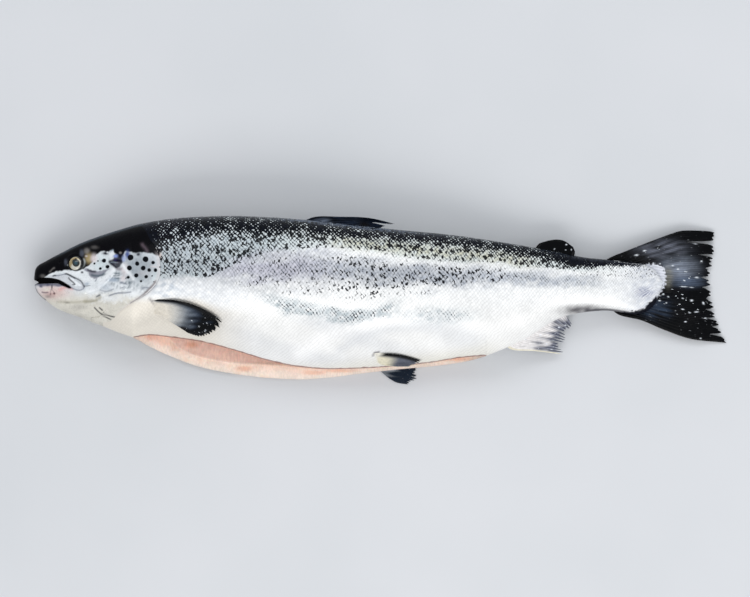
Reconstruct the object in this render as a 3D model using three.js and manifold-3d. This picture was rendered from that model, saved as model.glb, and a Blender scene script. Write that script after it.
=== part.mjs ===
// A whole salmon, gutted through a long slit in the belly, lying on its right side.
// Millimetres, +Z up. While it is shaped, x runs from the tip of the snout to the tail fin,
// y from the belly to the back, and z up from the surface that the fish lies on.

import * as THREE from 'three';
import { mergeVertices } from 'three/addons/utils/BufferGeometryUtils.js';
import { ParametricGeometry } from 'three/addons/geometries/ParametricGeometry.js';
import Module from 'manifold-3d';

const wasm = await Module();
wasm.setup();

// ---------------------------------------------------------------- driving dimensions

const GAP = 0.3; // clearance between two pieces that touch
const SLIT_START = 103; // the cut begins behind the throat
const SLIT_END = 471; // and ends just before the vent
const STALK_END = 654; // rear end of the scaled tail stalk

// The fish's outline, as [x, y] down its length.
const BACK = [
  [0, 13], [0.8, 19.5], [3.1, 24.4], [11.4, 29.6], [27, 38], [47.8, 48.4], [68.6, 56.2], [89.4, 62.9],
  [110, 68.6], [141, 73.8], [172, 76.2], [204, 77], [245, 75.6], [287, 72.6], [329, 67.8], [381, 62.4],
  [433, 57.4], [485, 49.9], [537, 41.1], [578, 33.2], [609, 30.6], [630, 28], [645, 22], [654, 10],
];
const BELLY = [
  [0, 9], [0.8, 4], [3.1, -2.1], [10.4, -9.4], [27, -20.8], [47.8, -28.4], [68.6, -36.4], [89.4, -44.7],
  [103, -49.5], [121, -59.3], [141, -68.6], [172, -80], [204, -86.6], [245, -91.6], [277, -93], [308, -91],
  [339, -87], [381, -82.4], [412, -79.6], [443, -75.6], [464, -70.6], [485, -62.6], [511, -51], [526, -41.6],
  [540, -32.6], [553, -27], [578, -22.4], [609, -22.6], [630, -20.6], [645, -14.5], [654, 4],
];
const UPPER_LIP = [
  [103, -49.5], [121, -47], [141, -49], [172, -53.4], [204, -61.4], [245, -73.6], [277, -80], [308, -82.4],
  [339, -81.6], [381, -78.8], [412, -75.6], [443, -70.6], [471, -68],
];

// Half of the thickness from flank to flank, and the height of the middle plane: the fish
// lies on its thick middle, and its head and tail sag towards the surface.
const HALF_THICKNESS = [
  [0, 3], [0.8, 6], [3.1, 9], [11.4, 13], [27, 17], [47.8, 21], [68.6, 26], [89.4, 31], [121, 35.5],
  [172, 39.5], [220, 41.6], [280, 42], [340, 40], [400, 36], [460, 30.4], [520, 23.4], [570, 17],
  [605, 13], [630, 9.6], [645, 6.4], [654, 4.2],
];
const MIDDLE = [
  [0, 19.5], [27, 22.5], [60, 27.8], [100, 33.5], [150, 37.6], [200, 39.2], [280, 39.8], [340, 38.2],
  [400, 34.6], [460, 29.2], [520, 23.2], [570, 18.2], [605, 15.4], [654, 12], [721, 5],
];

// The fore part of the fish lies on its right pectoral fin, which props it up by this much.
const PROP = 3;
const PROP_END = [196, 218];

// How full the flank is: the exponent of the super-ellipse from its crown to the back,
// to the belly on the upper side, and to the belly on the side that it lies on.
const FULL_BACK = [[0, 2], [40, 2.3], [100, 2.2], [200, 2.25], [400, 2.15], [560, 2.1], [654, 2.4]];
const FULL_BELLY = [
  [0, 2.2], [60, 2.1], [110, 1.8], [150, 1.5], [260, 1.5], [330, 1.7], [480, 1.95], [654, 2.4],
];
const FULL_UNDER = [[0, 2.2], [60, 2.1], [110, 2], [180, 2.3], [300, 2.4], [420, 2.1], [654, 2.4]];

// The slit: how wide it gapes, from 0 where its faces lie together to 1, the heights of
// its two lips, and the gap, depth and height of the empty belly behind it.
const FLESH_DEPTH = 6; // thickness of the pink flesh that lines it
const FLESH_SHORT = 2.5; // length that it stops short of each end
const LAYER_FADE = 24; // length over which it thins at each end, to this share of its thickness
const LAYER_END = 0.35;
const LIP_REACH = 16; // how far the cutting shape stands out past the lips
const LIP_RISE = 4.5; // and its height there above the lower lip
const LIP_FADE = 12; // length over which the cut faces grow at each end of the slit
const SHUT_FACE = { upper: [9, -1], lower: [9, 2.5] }; // [y, z] across each cut face
const OPEN_FACE = { upper: [5.5, -6.5], lower: [9, 7.5] };
const AGAPE = [[103, 0], [125, 0.6], [150, 1], [230, 1], [285, 0.6], [325, 0.12], [360, 0], [471, 0]];
const UPPER_LIP_Z = [
  [103, 33], [125, 30], [160, 27.5], [204, 26.5], [250, 22], [300, 16], [380, 14], [440, 16], [471, 27],
];
const LOWER_LIP_Z = [
  [103, 33], [112, 18], [130, 8], [160, 6], [204, 5], [250, 3.4], [300, 4], [400, 6.4], [450, 10],
  [471, 27],
];
const SLIT_GAP = [[107, 1], [125, 6], [160, 9], [230, 9], [280, 6.5], [320, 3], [360, 2], [440, 2], [467, 1]];
const CAVITY_DEPTH = [[107, 6], [130, 34], [170, 56], [230, 64], [300, 58], [380, 46], [440, 28], [467, 6]];
const CAVITY_HEIGHT = [
  [107, 1.5], [130, 18], [170, 31], [230, 36], [300, 30], [380, 20], [440, 11], [467, 1.5],
];

// The head. Outlines are [x, y] on the flank.
const EYE = { x: 43.7, y: 28.1, radius: 8.2, bulge: 5, sunk: 2.4 };
const GILL_COVER = {
  outline: [
    [96, 52], [116, 51], [129, 38], [131.5, 22], [127, 7], [112, -8], [91, -24], [72, -30], [58, -14],
    [60, 12], [72, 38],
  ],
  centre: [94, 12],
  front: 66,
  rear: 130,
  brow: 47,
  step: 2.4,
};
const UPPER_JAW_BONE = {
  outline: [[17, 13.6], [26, 13], [33, 16.4], [44, 12.4], [52.5, 5], [50, 0.6], [42, 2.6], [33, 8]],
  centre: [37, 9.5],
  front: 15,
  rear: 46,
  brow: 40,
  step: 1.5,
};
const MOUTH = {
  upper: [[-4, 10], [3, 9.6], [9, 12], [17, 12.6], [27, 9.9], [33.5, 6.6], [40, 2.2]],
  lower: [[35, 3], [26, 6], [17, 6.8], [6, 7], [-4, 6]],
  reach: 90,
};

// Fins: the root line inside the body, the leading and trailing edges, and the outer margin,
// with the thickness at root and margin, the bundles of rays, how deep the margin is frayed,
// and the faces along and across. A fin on the middle line sags by its margin's drop.
const DORSAL_FIN = {
  root: [[274, 66], [352, 58]],
  lead: [[274, 66], [290, 75.6], [318, 76.2], [348, 75], [376, 68.6]],
  trail: [[352, 58], [359, 64]],
  margin: [[376, 68.6], [368, 67.2], [359, 64]],
  thickness: [6, 2.4], rays: 4, fray: 0, columns: 12, rows: 5, drop: 1,
};
const ADIPOSE_FIN = {
  root: [[520, 36], [558, 30]],
  lead: [[520, 36], [524, 47.2], [535, 51.6]],
  trail: [[558, 30], [562.6, 38], [561, 44.6]],
  margin: [[535, 51.6], [543.6, 52.6], [552, 51], [561, 44.6]],
  thickness: [7, 3], rays: 0, fray: 0, columns: 10, rows: 4, drop: 0,
};
const ANAL_FIN = {
  root: [[485, -52], [548, -18]],
  lead: [[485, -52], [496, -61.6], [520, -63.4], [550, -66.8]],
  trail: [[548, -18], [556, -30], [560, -36]],
  margin: [[550, -66.8], [556, -58], [557, -46], [560, -36]],
  thickness: [5, 1.6], rays: 7, fray: 0.12, columns: 21, rows: 5, drop: 14,
};
const CAUDAL_FIN = {
  root: [[600, 24], [600, -14]],
  lead: [[600, 24], [606, 36.4], [630, 46], [654, 55.4], [676, 61.8], [707, 60.6]],
  trail: [[600, -14], [608, -25.6], [632, -31.6], [656, -41.6], [684, -51], [720.7, -55]],
  margin: [
    [707, 60.6], [707.4, 45], [705.4, 28], [703, 10], [704.4, -6], [708, -22], [713, -38], [720.7, -55],
  ],
  thickness: [7, 1.6], rays: 13, fray: 0.07, columns: 40, rows: 6, drop: 3.6,
};
const PECTORAL_FIN = {
  root: [[116, -8], [121, -17]],
  lead: [[116, -8], [131, -9.2], [150, -10.4], [170, -16.6], [188, -27], [194, -33.4]],
  trail: [[121, -17], [138, -24], [152, -34], [162, -43.6]],
  margin: [[194, -33.4], [189, -41], [182, -46.6], [172, -47.8], [162, -43.6]],
  thickness: [4, 1.6], rays: 5, fray: 0.06, columns: 15, rows: 5,
};
const UPPER_PELVIC_FIN = {
  root: [[348, -64], [354, -76]],
  lead: [[348, -64], [361, -65.6], [382, -67.6], [404, -73.6]],
  trail: [[354, -76], [370, -79.4], [390, -79.6]],
  margin: [[404, -73.6], [399, -77.4], [390, -79.6]],
  thickness: [4, 1.6], rays: 4, fray: 0.06, columns: 12, rows: 5,
};
const UNDER_PELVIC_FIN = {
  root: [[350, -70], [356, -62]],
  lead: [[350, -70], [360, -84], [375, -95.4], [389, -98.4]],
  trail: [[356, -62], [380, -72], [400, -79]],
  margin: [[389, -98.4], [398.6, -92], [400, -79]],
  rays: 4, fray: 0.06, columns: 12, rows: 5,
};
const RAY_RELIEF = 0.28; // height of a ridge of rays, as a share of the fin's thickness
const PECTORAL_LIFT = 3.4; // how far the tips of the upper fins stand off the flank
const PELVIC_LIFT = 2.6;
const PRESSED = { thickness: [1.8, 1.6], z: 1.3 }; // a fin pressed flat under the fish

// ---------------------------------------------------------------- curves and sections

const mix = (a, b, t) => a + (b - a) * t;
const clamp = THREE.MathUtils.clamp;
const smooth = (t) => THREE.MathUtils.smoothstep(t, 0, 1);

// A smooth curve through [x, value] stations that never swings past them: cubic pieces
// whose slope at a station is the weighted harmonic mean of the slopes on its two sides.
function through(stations) {
  const run = stations.slice(1).map((s, i) => s[0] - stations[i][0]);
  const rise = stations.slice(1).map((s, i) => (s[1] - stations[i][1]) / run[i]);
  const slope = stations.map((_, i) => {
    if (i === 0) return rise[0];
    if (i === rise.length) return rise[i - 1];
    if (rise[i - 1] * rise[i] <= 0) return 0;
    const before = 2 * run[i] + run[i - 1];
    const after = run[i] + 2 * run[i - 1];
    return (before + after) / (before / rise[i - 1] + after / rise[i]);
  });
  return (x) => {
    if (x <= stations[0][0]) return stations[0][1];
    if (x >= stations.at(-1)[0]) return stations.at(-1)[1];
    const i = stations.findIndex((s) => s[0] > x) - 1;
    const t = (x - stations[i][0]) / run[i];
    const rising = 3 * t ** 2 - 2 * t ** 3;
    const value = mix(stations[i][1], stations[i + 1][1], rising);
    return value + run[i] * ((t ** 3 - 2 * t ** 2 + t) * slope[i] + (t ** 3 - t ** 2) * slope[i + 1]);
  };
}

const back = through(BACK);
const belly = through(BELLY);
const lip = through(UPPER_LIP);
const halfThickness = through(HALF_THICKNESS);
const middle = through(MIDDLE);
const rest = (x) => PROP * (1 - THREE.MathUtils.smoothstep(x, ...PROP_END));
const fullBack = through(FULL_BACK);
const fullBelly = through(FULL_BELLY);
const fullUnder = through(FULL_UNDER);
const agape = through(AGAPE);
const upperLipZ = through(UPPER_LIP_Z);
const lowerLipZ = through(LOWER_LIP_Z);
const slitGap = through(SLIT_GAP);
const cavityDepth = through(CAVITY_DEPTH);
const cavityHeight = through(CAVITY_HEIGHT);

const inSlit = (x) => x > SLIT_START && x < SLIT_END;

// The corners of the section at x: the back, the two lips, and the inner corners of the
// two cut faces. Away from the slit the lips are one point.
function corners(x, grow = 0) {
  const keel = { y: belly(x) - grow, z: middle(x) };
  const spine = { y: back(x) + grow, z: middle(x) };
  if (!inSlit(x)) return { spine, upper: keel, upperIn: keel, lowerIn: keel, lower: keel };
  const fade = Math.min(1, (x - SLIT_START) / LIP_FADE, (SLIT_END - x) / LIP_FADE);
  const face = (side, k) => fade * mix(SHUT_FACE[side][k], OPEN_FACE[side][k], agape(x));
  const upper = { y: Math.max(lip(x), belly(x)) - grow, z: upperLipZ(x) };
  const lower = { y: belly(x) - grow, z: Math.min(lowerLipZ(x), upper.z) };
  const upperIn = { y: upper.y + face('upper', 0), z: upper.z + face('upper', 1) };
  const lowerIn = { y: lower.y + face('lower', 0), z: Math.min(lower.z + face('lower', 1), upperIn.z) };
  return { spine, upper, upperIn, lowerIn, lower };
}

// A flank of the section at x, from one corner to another. The flank swells from the
// straight line between them as a super-ellipse whose crown is halfway.
function flankZ(from, to, crown, fullFrom, fullTo, y) {
  const c = clamp((2 * y - from.y - to.y) / (from.y - to.y), -1, 1);
  const n = c > 0 ? fullFrom : fullTo;
  const line = mix(to.z, from.z, (c + 1) / 2);
  const swell = (1 - Math.abs(c) ** n) ** (1 / n);
  return line + (crown - mix(to.z, from.z, 0.5)) * swell;
}

function upperSkin(x, y, grow = 0) {
  const at = corners(x, grow);
  const crown = middle(x) + halfThickness(x) + grow;
  return flankZ(at.spine, at.upper, crown, fullBack(x), fullBelly(x), y);
}

function underSkin(x, y, grow = 0) {
  const at = corners(x, grow);
  const crown = middle(x) - halfThickness(x) - grow;
  return Math.max(rest(x) - grow, flankZ(at.spine, at.lower, crown, fullBack(x), fullUnder(x), y));
}

// ---------------------------------------------------------------- solids

// A closed surface, point(column, row), as a solid. Seams and poles are merged.
function closedSolid(point, columns, rows) {
  const surface = new ParametricGeometry(
    (u, v, target) => target.set(...point(Math.round(u * columns) % columns, Math.round(v * rows))),
    columns,
    rows,
  );
  return solidFrom(surface);
}

function solidFrom(geometry) {
  const bare = geometry.clone();
  bare.deleteAttribute('normal');
  bare.deleteAttribute('uv');
  const merged = mergeVertices(bare, 1e-3);
  const index = Array.from(merged.index.array);
  const triVerts = [];
  for (let i = 0; i < index.length; i += 3) {
    const [a, b, c] = index.slice(i, i + 3);
    if (a !== b && b !== c && c !== a) triVerts.push(a, b, c);
  }
  const make = (faces) => new wasm.Manifold(new wasm.Mesh({
    numProp: 3,
    vertProperties: new Float32Array(merged.attributes.position.array),
    triVerts: new Uint32Array(faces),
  }));
  const solid = make(triVerts);
  return solid.volume() > 0 ? solid : make(triVerts.reverse());
}

function spaced(from, to, count) {
  return Array.from({ length: count }, (_, i) => mix(from, to, i / count));
}

// The whole fish without its fins: rows of sections, closed at the snout and the stalk.
const BODY_ROWS = [
  0, 0.8, 3.1, ...spaced(7, 100, 16), 100, ...spaced(SLIT_START, SLIT_END, 30), ...spaced(SLIT_END, 606, 9),
  ...spaced(606, STALK_END, 6), STALK_END,
];
const UPPER_STEPS = 14;
const UNDER_STEPS = 11;

function bodySolid(grow = 0) {
  const columns = UPPER_STEPS + UNDER_STEPS + 3;
  const point = (column, row) => {
    const x = BODY_ROWS[row] + (row === 0 ? -grow : row === BODY_ROWS.length - 1 ? grow : 0);
    if (row === 0 || row === BODY_ROWS.length - 1) return [x, mix(belly(x), back(x), 0.5), middle(x)];
    const at = corners(x, grow);
    if (column <= UPPER_STEPS) {
      const y = mix(at.upper.y, at.spine.y, (1 + Math.cos((Math.PI * column) / UPPER_STEPS)) / 2);
      return [x, y, upperSkin(x, y, grow)];
    }
    if (column === UPPER_STEPS + 1) return [x, at.upperIn.y, at.upperIn.z];
    if (column === UPPER_STEPS + 2) return [x, at.lowerIn.y, at.lowerIn.z];
    const turn = (Math.PI * (column - UPPER_STEPS - 3)) / UNDER_STEPS;
    const y = mix(at.lower.y, at.spine.y, (1 - Math.cos(turn)) / 2);
    return [x, y, underSkin(x, y, grow)];
  };
  return closedSolid(point, columns, BODY_ROWS.length - 1);
}

// The empty belly with the slit that opens it, or, with a layer, the flesh round it too,
// less a gap all round that closes at its two sharp ends.
function cavitySolid(layer = 0, gap = 0) {
  const first = SLIT_GAP[0][0];
  const last = SLIT_GAP.at(-1)[0];
  const rows = 20;
  const steps = 7;
  const columns = 2 * steps + 2;
  const point = (column, row) => {
    const x = mix(first - layer, last + layer, row / rows);
    const at = corners(clamp(x, first, last));
    const shut = row === 0 || row === rows ? 0 : 1;
    const grow = layer * clamp(Math.min(x - first, last - x) / LAYER_FADE, LAYER_END, 1) - gap;
    const mouthY = mix(at.upperIn.y, at.lowerIn.y, 0.5);
    const mouthZ = mix(at.upperIn.z, at.lowerIn.z, 0.5);
    if (column === 2 * steps + 1 || column === 0) {
      const side = column === 0 ? 1 : -1;
      const half = shut * (slitGap(x) / 2 + grow);
      return [x, at.lower.y - LIP_REACH, at.lower.z + LIP_RISE + side * half];
    }
    const s = (column <= steps ? column - 1 : 2 * steps - column) / (steps - 0.5);
    const side = column <= steps ? 1 : -1;
    const depth = cavityDepth(x) + grow;
    const half = mix(slitGap(x), cavityHeight(x), smooth(s / 0.5)) / 2;
    const rise = 0.95 * (half - slitGap(x) / 2);
    const round = Math.sqrt(1 - Math.min(1, s) ** 3);
    return [x, mouthY + s * depth, mouthZ + rise + shut * side * (half + grow) * round];
  };
  return closedSolid(point, columns, rows);
}

// A raised plate of bone on the flank: it fills the head up to its middle plane, is flush
// at the front and under the brow, and stands one step proud at the rear.
function plateSolid(plate, side, grow = 0) {
  const edge = new THREE.CatmullRomCurve3(plate.outline.map(([x, y]) => new THREE.Vector3(x, y, 0)), true);
  const columns = 22;
  const rings = 4;
  const point = (column, row) => {
    const onEdge = edge.getPointAt(column / columns);
    const reach = row <= rings ? row / rings : rings + 2 - row;
    const x = mix(plate.centre[0], onEdge.x, reach * (1 + grow / 30));
    const y = mix(plate.centre[1], onEdge.y, reach * (1 + grow / 30));
    if (row > rings) return [x, y, middle(x)];
    const rise = smooth((x - plate.front) / (plate.rear - plate.front)) * smooth((plate.brow - y) / 16);
    const proud = plate.step * rise + grow - 0.05;
    return [x, y, side > 0 ? upperSkin(x, y) + proud : Math.max(rest(x) - grow, underSkin(x, y) - proud)];
  };
  return closedSolid(point, columns, rings + 2);
}

// A prism through the whole head, in the outline of the gap between the jaws.
function mouthSolid() {
  const outline = new THREE.Shape([...MOUTH.upper, ...MOUTH.lower].map(([x, y]) => new THREE.Vector2(x, y)));
  const prism = new THREE.ExtrudeGeometry(outline, { depth: MOUTH.reach, bevelEnabled: false });
  return solidFrom(prism.translate(0, 0, -MOUTH.reach / 4));
}

// An eyeball: a flattened sphere facing squarely out of the head, sunk into its socket.
function eyeSolid(side, grow = 0) {
  const skin = side > 0 ? upperSkin : underSkin;
  const slopeX = (skin(EYE.x + 2, EYE.y) - skin(EYE.x - 2, EYE.y)) / 4;
  const slopeY = (skin(EYE.x, EYE.y + 2) - skin(EYE.x, EYE.y - 2)) / 4;
  const out = new THREE.Vector3(-slopeX, -slopeY, 1).multiplyScalar(side).normalize();
  const ball = new THREE.SphereGeometry(1, 16, 9);
  ball.rotateX(Math.PI / 2);
  ball.scale(EYE.radius + grow, EYE.radius + grow, EYE.bulge + grow);
  ball.applyQuaternion(new THREE.Quaternion().setFromUnitVectors(new THREE.Vector3(0, 0, 1), out));
  const at = new THREE.Vector3(EYE.x, EYE.y, skin(EYE.x, EYE.y)).addScaledVector(out, -EYE.sunk);
  ball.translate(at.x, at.y, at.z);
  return solidFrom(ball);
}

// A point of a patch between four edges: it is stretched one way and the other, less the
// plain four-cornered patch that both of them count.
function patchPoint({ root, lead, trail, margin }, u, v) {
  const between = (a, b, t) => a.clone().lerp(b, t);
  const across = between(root.getPointAt(u), margin.getPointAt(u), v);
  const along = between(lead.getPointAt(v), trail.getPointAt(v), u);
  const near = between(root.getPointAt(0), root.getPointAt(1), u);
  const far = between(margin.getPointAt(0), margin.getPointAt(1), u);
  return across.add(along).sub(between(near, far, v));
}

// A fin: a thin plate with square edges, at the height level(x, y, v), with a ridge for
// each bundle of rays. Its margin is torn back between some of them.
function finSolid(fin, level, thickness = fin.thickness) {
  const edges = {};
  for (const name of ['root', 'lead', 'trail', 'margin']) {
    edges[name] = new THREE.SplineCurve(fin[name].map(([x, y]) => new THREE.Vector2(x, y)));
  }
  const around = 2 * (fin.columns + 1);
  const last = fin.rows + 2;
  const point = (column, row) => {
    const over = column <= fin.columns;
    const u = over ? column / fin.columns : (around - 1 - column) / fin.columns;
    const out = clamp(row - 1, 0, fin.rows) / fin.rows;
    const wave = 0.5 + 0.5 * Math.sin(fin.rays * Math.PI * 2.6 * u + 1);
    const v = out * (1 - fin.fray * wave * Math.sqrt(Math.sin(Math.PI * u)));
    const at = patchPoint(edges, u, v);
    const ridge = 1 + RAY_RELIEF * Math.cos(2 * Math.PI * fin.rays * u);
    const half = row === 0 || row === last ? 0 : (mix(...thickness, Math.sqrt(out)) / 2) * ridge;
    return [at.x, at.y, level(at.x, at.y, v) + (over ? half : -half)];
  };
  return closedSolid(point, around, last);
}

// ---------------------------------------------------------------- the pieces

const skin = new THREE.MeshStandardMaterial({ color: 0xb9bec6, roughness: 0.3, metalness: 0.25 });
const pink = new THREE.MeshStandardMaterial({ color: 0xe0a08a, roughness: 0.42, metalness: 0 });
const finSkin = new THREE.MeshStandardMaterial({ color: 0x23262c, roughness: 0.38, metalness: 0 });
const eyeball = new THREE.MeshStandardMaterial({ color: 0x30302a, roughness: 0.08, metalness: 0 });

const fish = new THREE.Group();

function addPiece(name, solid, material) {
  const { vertProperties, triVerts, numProp } = solid.getMesh();
  const geometry = new THREE.BufferGeometry();
  const positions = new Float32Array((vertProperties.length / numProp) * 3);
  for (let i = 0; i < positions.length; i += 1) {
    positions[i] = vertProperties[Math.floor(i / 3) * numProp + (i % 3)];
  }
  geometry.setAttribute('position', new THREE.BufferAttribute(positions, 3));
  geometry.setIndex(new THREE.BufferAttribute(new Uint32Array(triVerts), 1));
  geometry.computeVertexNormals();
  const mesh = new THREE.Mesh(geometry, material);
  mesh.name = name;
  fish.add(mesh);
}

// The largest of the parts that a cut leaves: the others are loose crumbs.
function mainPart(solid) {
  const parts = solid.decompose();
  return parts.reduce((best, part) => (part.volume() > best.volume() ? part : best));
}

function withPlates(solid, grow = 0) {
  let joined = solid;
  for (const side of [1, -1]) {
    joined = joined.add(plateSolid(GILL_COVER, side, grow));
    joined = joined.add(plateSolid(UPPER_JAW_BONE, side, grow));
  }
  return joined;
}

const SIDES = { left: 1, right: -1 };
const outside = bodySolid();
const cavity = cavitySolid();

// Skin, bones and back flesh are one solid, cut open at the mouth, the belly and the eyes.
const fleshBed = cavitySolid(FLESH_DEPTH);
let body = withPlates(outside).subtract(mouthSolid()).subtract(fleshBed).subtract(cavity);
for (const side of Object.values(SIDES)) body = body.subtract(eyeSolid(side, GAP));
addPiece('body', mainPart(body), skin);

// The pink belly flesh shows on both cut faces and lines the whole of the empty belly. It
// stops a little short of the slit's two sharp ends.
const fleshLength = SLIT_END - SLIT_START - 2 * FLESH_SHORT;
const span = new THREE.BoxGeometry(fleshLength, fleshLength, fleshLength);
span.translate((SLIT_START + SLIT_END) / 2, 0, 0);
const lining = outside.intersect(cavitySolid(FLESH_DEPTH, GAP)).subtract(cavity);
addPiece('flesh', mainPart(lining.intersect(solidFrom(span))), pink);

for (const [name, side] of Object.entries(SIDES)) addPiece(`eye_${name}`, eyeSolid(side), eyeball);

// Every fin starts at the skin, one clearance away from it.
const clearOf = withPlates(bodySolid(GAP), GAP);

function addFin(name, fin, level, thickness) {
  addPiece(name, mainPart(finSolid(fin, level, thickness).subtract(clearOf)), finSkin);
}

// The fins on the middle line stand in the middle plane.
const MIDDLE_FINS = {
  dorsal_fin: DORSAL_FIN,
  adipose_fin: ADIPOSE_FIN,
  anal_fin: ANAL_FIN,
  caudal_fin: CAUDAL_FIN,
};
for (const [name, fin] of Object.entries(MIDDLE_FINS)) {
  addFin(name, fin, (x, y, v) => middle(x) - fin.drop * v);
}

// The paired fins lie folded back: the left ones on the flank, and the right ones pressed
// flat between the fish and the surface.
const onFlank = (lift) => (x, y, v) => upperSkin(x, Math.max(y, corners(x).upper.y + 3)) + mix(1, lift, v);
addFin('pectoral_fin_left', PECTORAL_FIN, onFlank(PECTORAL_LIFT));
addFin('pelvic_fin_left', UPPER_PELVIC_FIN, onFlank(PELVIC_LIFT));
addFin('pectoral_fin_right', PECTORAL_FIN, () => PRESSED.z, PRESSED.thickness);
addFin('pelvic_fin_right', UNDER_PELVIC_FIN, () => PRESSED.z, PRESSED.thickness);

// The origin is the middle of the fish's box, on the surface that it lies on.
const box = new THREE.Box3().setFromObject(fish);
const middleOfBox = box.getCenter(new THREE.Vector3());
fish.position.set(-middleOfBox.x, -middleOfBox.y, -box.min.z);

const model = new THREE.Group();
model.add(fish);

export default model;
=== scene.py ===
# %% [markdown]
# # A whole salmon, gutted and laid on its right side
# This lesson dresses a plain solid fish in its real surface: a head with jaws, an eye and a
# spotted gill cover, a trunk of small wet scales, a slit belly with pink flesh, and eight fins.
# Each piece is a grid of points that numpy works out from a few named curves, because the shape
# of a fish is smooth one way (down its length) and rounded the other way (round its girth).

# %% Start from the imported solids
import bpy
import numpy as np
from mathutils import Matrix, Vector


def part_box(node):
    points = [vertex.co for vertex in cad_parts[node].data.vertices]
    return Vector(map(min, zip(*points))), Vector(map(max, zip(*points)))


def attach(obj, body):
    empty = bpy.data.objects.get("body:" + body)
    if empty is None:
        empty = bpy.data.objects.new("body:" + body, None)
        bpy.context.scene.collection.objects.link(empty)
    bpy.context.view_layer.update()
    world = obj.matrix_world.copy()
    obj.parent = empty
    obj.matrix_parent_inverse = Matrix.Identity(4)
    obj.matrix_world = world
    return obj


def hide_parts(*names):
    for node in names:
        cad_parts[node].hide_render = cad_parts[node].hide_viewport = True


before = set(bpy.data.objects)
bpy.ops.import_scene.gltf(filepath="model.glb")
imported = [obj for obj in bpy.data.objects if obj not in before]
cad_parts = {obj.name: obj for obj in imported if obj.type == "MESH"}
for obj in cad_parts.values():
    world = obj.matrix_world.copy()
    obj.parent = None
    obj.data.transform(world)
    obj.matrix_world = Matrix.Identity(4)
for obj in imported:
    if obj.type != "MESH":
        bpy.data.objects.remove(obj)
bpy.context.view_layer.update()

# %% [markdown]
# ## Working in the fish's own millimetres
# A fishmonger would measure from the snout: `x` runs to the tail, `y` from the belly to the
# back, `z` up from the counter. The solids hold the same fish with its origin elsewhere, so one
# shift, read from the solid body, carries every finished point into the shared frame.

# %% The shift from fish millimetres to the shared frame
MM = 0.001
BACK_TOP = 77.0
body_low, body_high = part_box("body")
SHIFT = np.array([body_low.x, body_high.y - BACK_TOP * MM, 0.0])


def mix(a, b, t):
    """The straight line from a, at t = 0, to b, at t = 1."""
    return a + (b - a) * t


def step(a, b, x):
    """0 before a, 1 after b, and the smooth step 3t^2 - 2t^3 between them."""
    t = np.clip((x - a) / (b - a), 0.0, 1.0)
    return t * t * (3.0 - 2.0 * t)


def bell(gap, width):
    """exp(-(gap / width)^2): 1 where the gap is nothing, about a third where it is one width."""
    return np.exp(-((gap / width) ** 2))


def through(stations):
    """A smooth curve through [x, value] stations that never swings past them: cubic pieces
    whose slope at a station is the weighted harmonic mean of the slopes on its two sides."""
    place, value = np.array(stations, float).T
    run = np.diff(place)
    rise = np.diff(value) / run
    before = 2 * run[1:] + run[:-1]
    after = run[1:] + 2 * run[:-1]
    same_way = rise[:-1] * rise[1:] > 0
    first, second = np.where(same_way, rise[:-1], 1), np.where(same_way, rise[1:], 1)
    inner = np.where(same_way, (before + after) / (before / first + after / second), 0)
    slope = np.concatenate([rise[:1], inner, rise[-1:]])

    def at(x):
        """The curve's value at x, kept at its end values beyond its ends."""
        x = np.clip(x, place[0], place[-1])
        i = np.clip(np.searchsorted(place, x, "right") - 1, 0, len(run) - 1)
        t = (x - place[i]) / run[i]
        level = value[i] + (value[i + 1] - value[i]) * (3 * t**2 - 2 * t**3)
        return level + run[i] * ((t**3 - 2 * t**2 + t) * slope[i] + (t**3 - t**2) * slope[i + 1])

    return at


print("fish millimetres start at", [round(c, 4) for c in SHIFT])

# %% [markdown]
# ## The outline of the fish
# A few stations down the length give the back, the belly, the upper lip of the slit, the
# thickness, and the height of the middle plane. They are the same driving sizes as the solid's,
# so the fine skin lies on it. The flank between back and belly is a super-ellipse: its exponent
# says how full it is.

# %% Stations down the length, in millimetres
back = through([
    [0, 13], [0.8, 19.5], [3.1, 24.4], [11.4, 29.6], [27, 38], [47.8, 48.4], [68.6, 56.2], [89.4, 62.9],
    [110, 68.6], [141, 73.8], [172, 76.2], [204, 77], [245, 75.6], [287, 72.6], [329, 67.8], [381, 62.4],
    [433, 57.4], [485, 49.9], [537, 41.1], [578, 33.2], [609, 30.6], [630, 28], [645, 22], [654, 10],
])
belly = through([
    [0, 9], [0.8, 4], [3.1, -2.1], [10.4, -9.4], [27, -20.8], [47.8, -28.4], [68.6, -36.4], [89.4, -44.7],
    [103, -49.5], [121, -59.3], [141, -68.6], [172, -80], [204, -86.6], [245, -91.6], [277, -93],
    [308, -91], [339, -87], [381, -82.4], [412, -79.6], [443, -75.6], [464, -70.6], [485, -62.6],
    [511, -51], [526, -41.6], [540, -32.6], [553, -27], [578, -22.4], [594, -21.4], [612, -23.4],
    [625, -25.4], [637, -22], [646, -14.5], [654, 4],
])
lip = through([
    [103, -49.5], [121, -47], [141, -49], [172, -53.4], [204, -61.4], [245, -73.6], [277, -80],
    [308, -82.4], [339, -81.6], [381, -78.8], [412, -75.6], [443, -70.6], [471, -68],
])
half_thickness = through([
    [0, 3], [0.8, 6], [3.1, 9], [11.4, 13], [27, 17], [47.8, 21], [68.6, 26], [89.4, 31], [121, 35.5],
    [172, 39.5], [220, 41.6], [280, 42], [340, 40], [400, 36], [460, 30.4], [520, 23.4], [570, 17],
    [605, 13], [630, 9.6], [645, 6.4], [654, 4.2],
])
middle = through([
    [0, 19.5], [27, 22.5], [60, 27.8], [100, 33.5], [150, 37.6], [200, 39.2], [280, 39.8], [340, 38.2],
    [400, 34.6], [460, 29.2], [520, 23.2], [570, 18.2], [605, 15.4], [654, 12], [721, 5],
])
full_back = through([[0, 2], [40, 2.3], [100, 2.2], [200, 2.25], [400, 2.15], [560, 2.1], [654, 2.4]])
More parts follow.
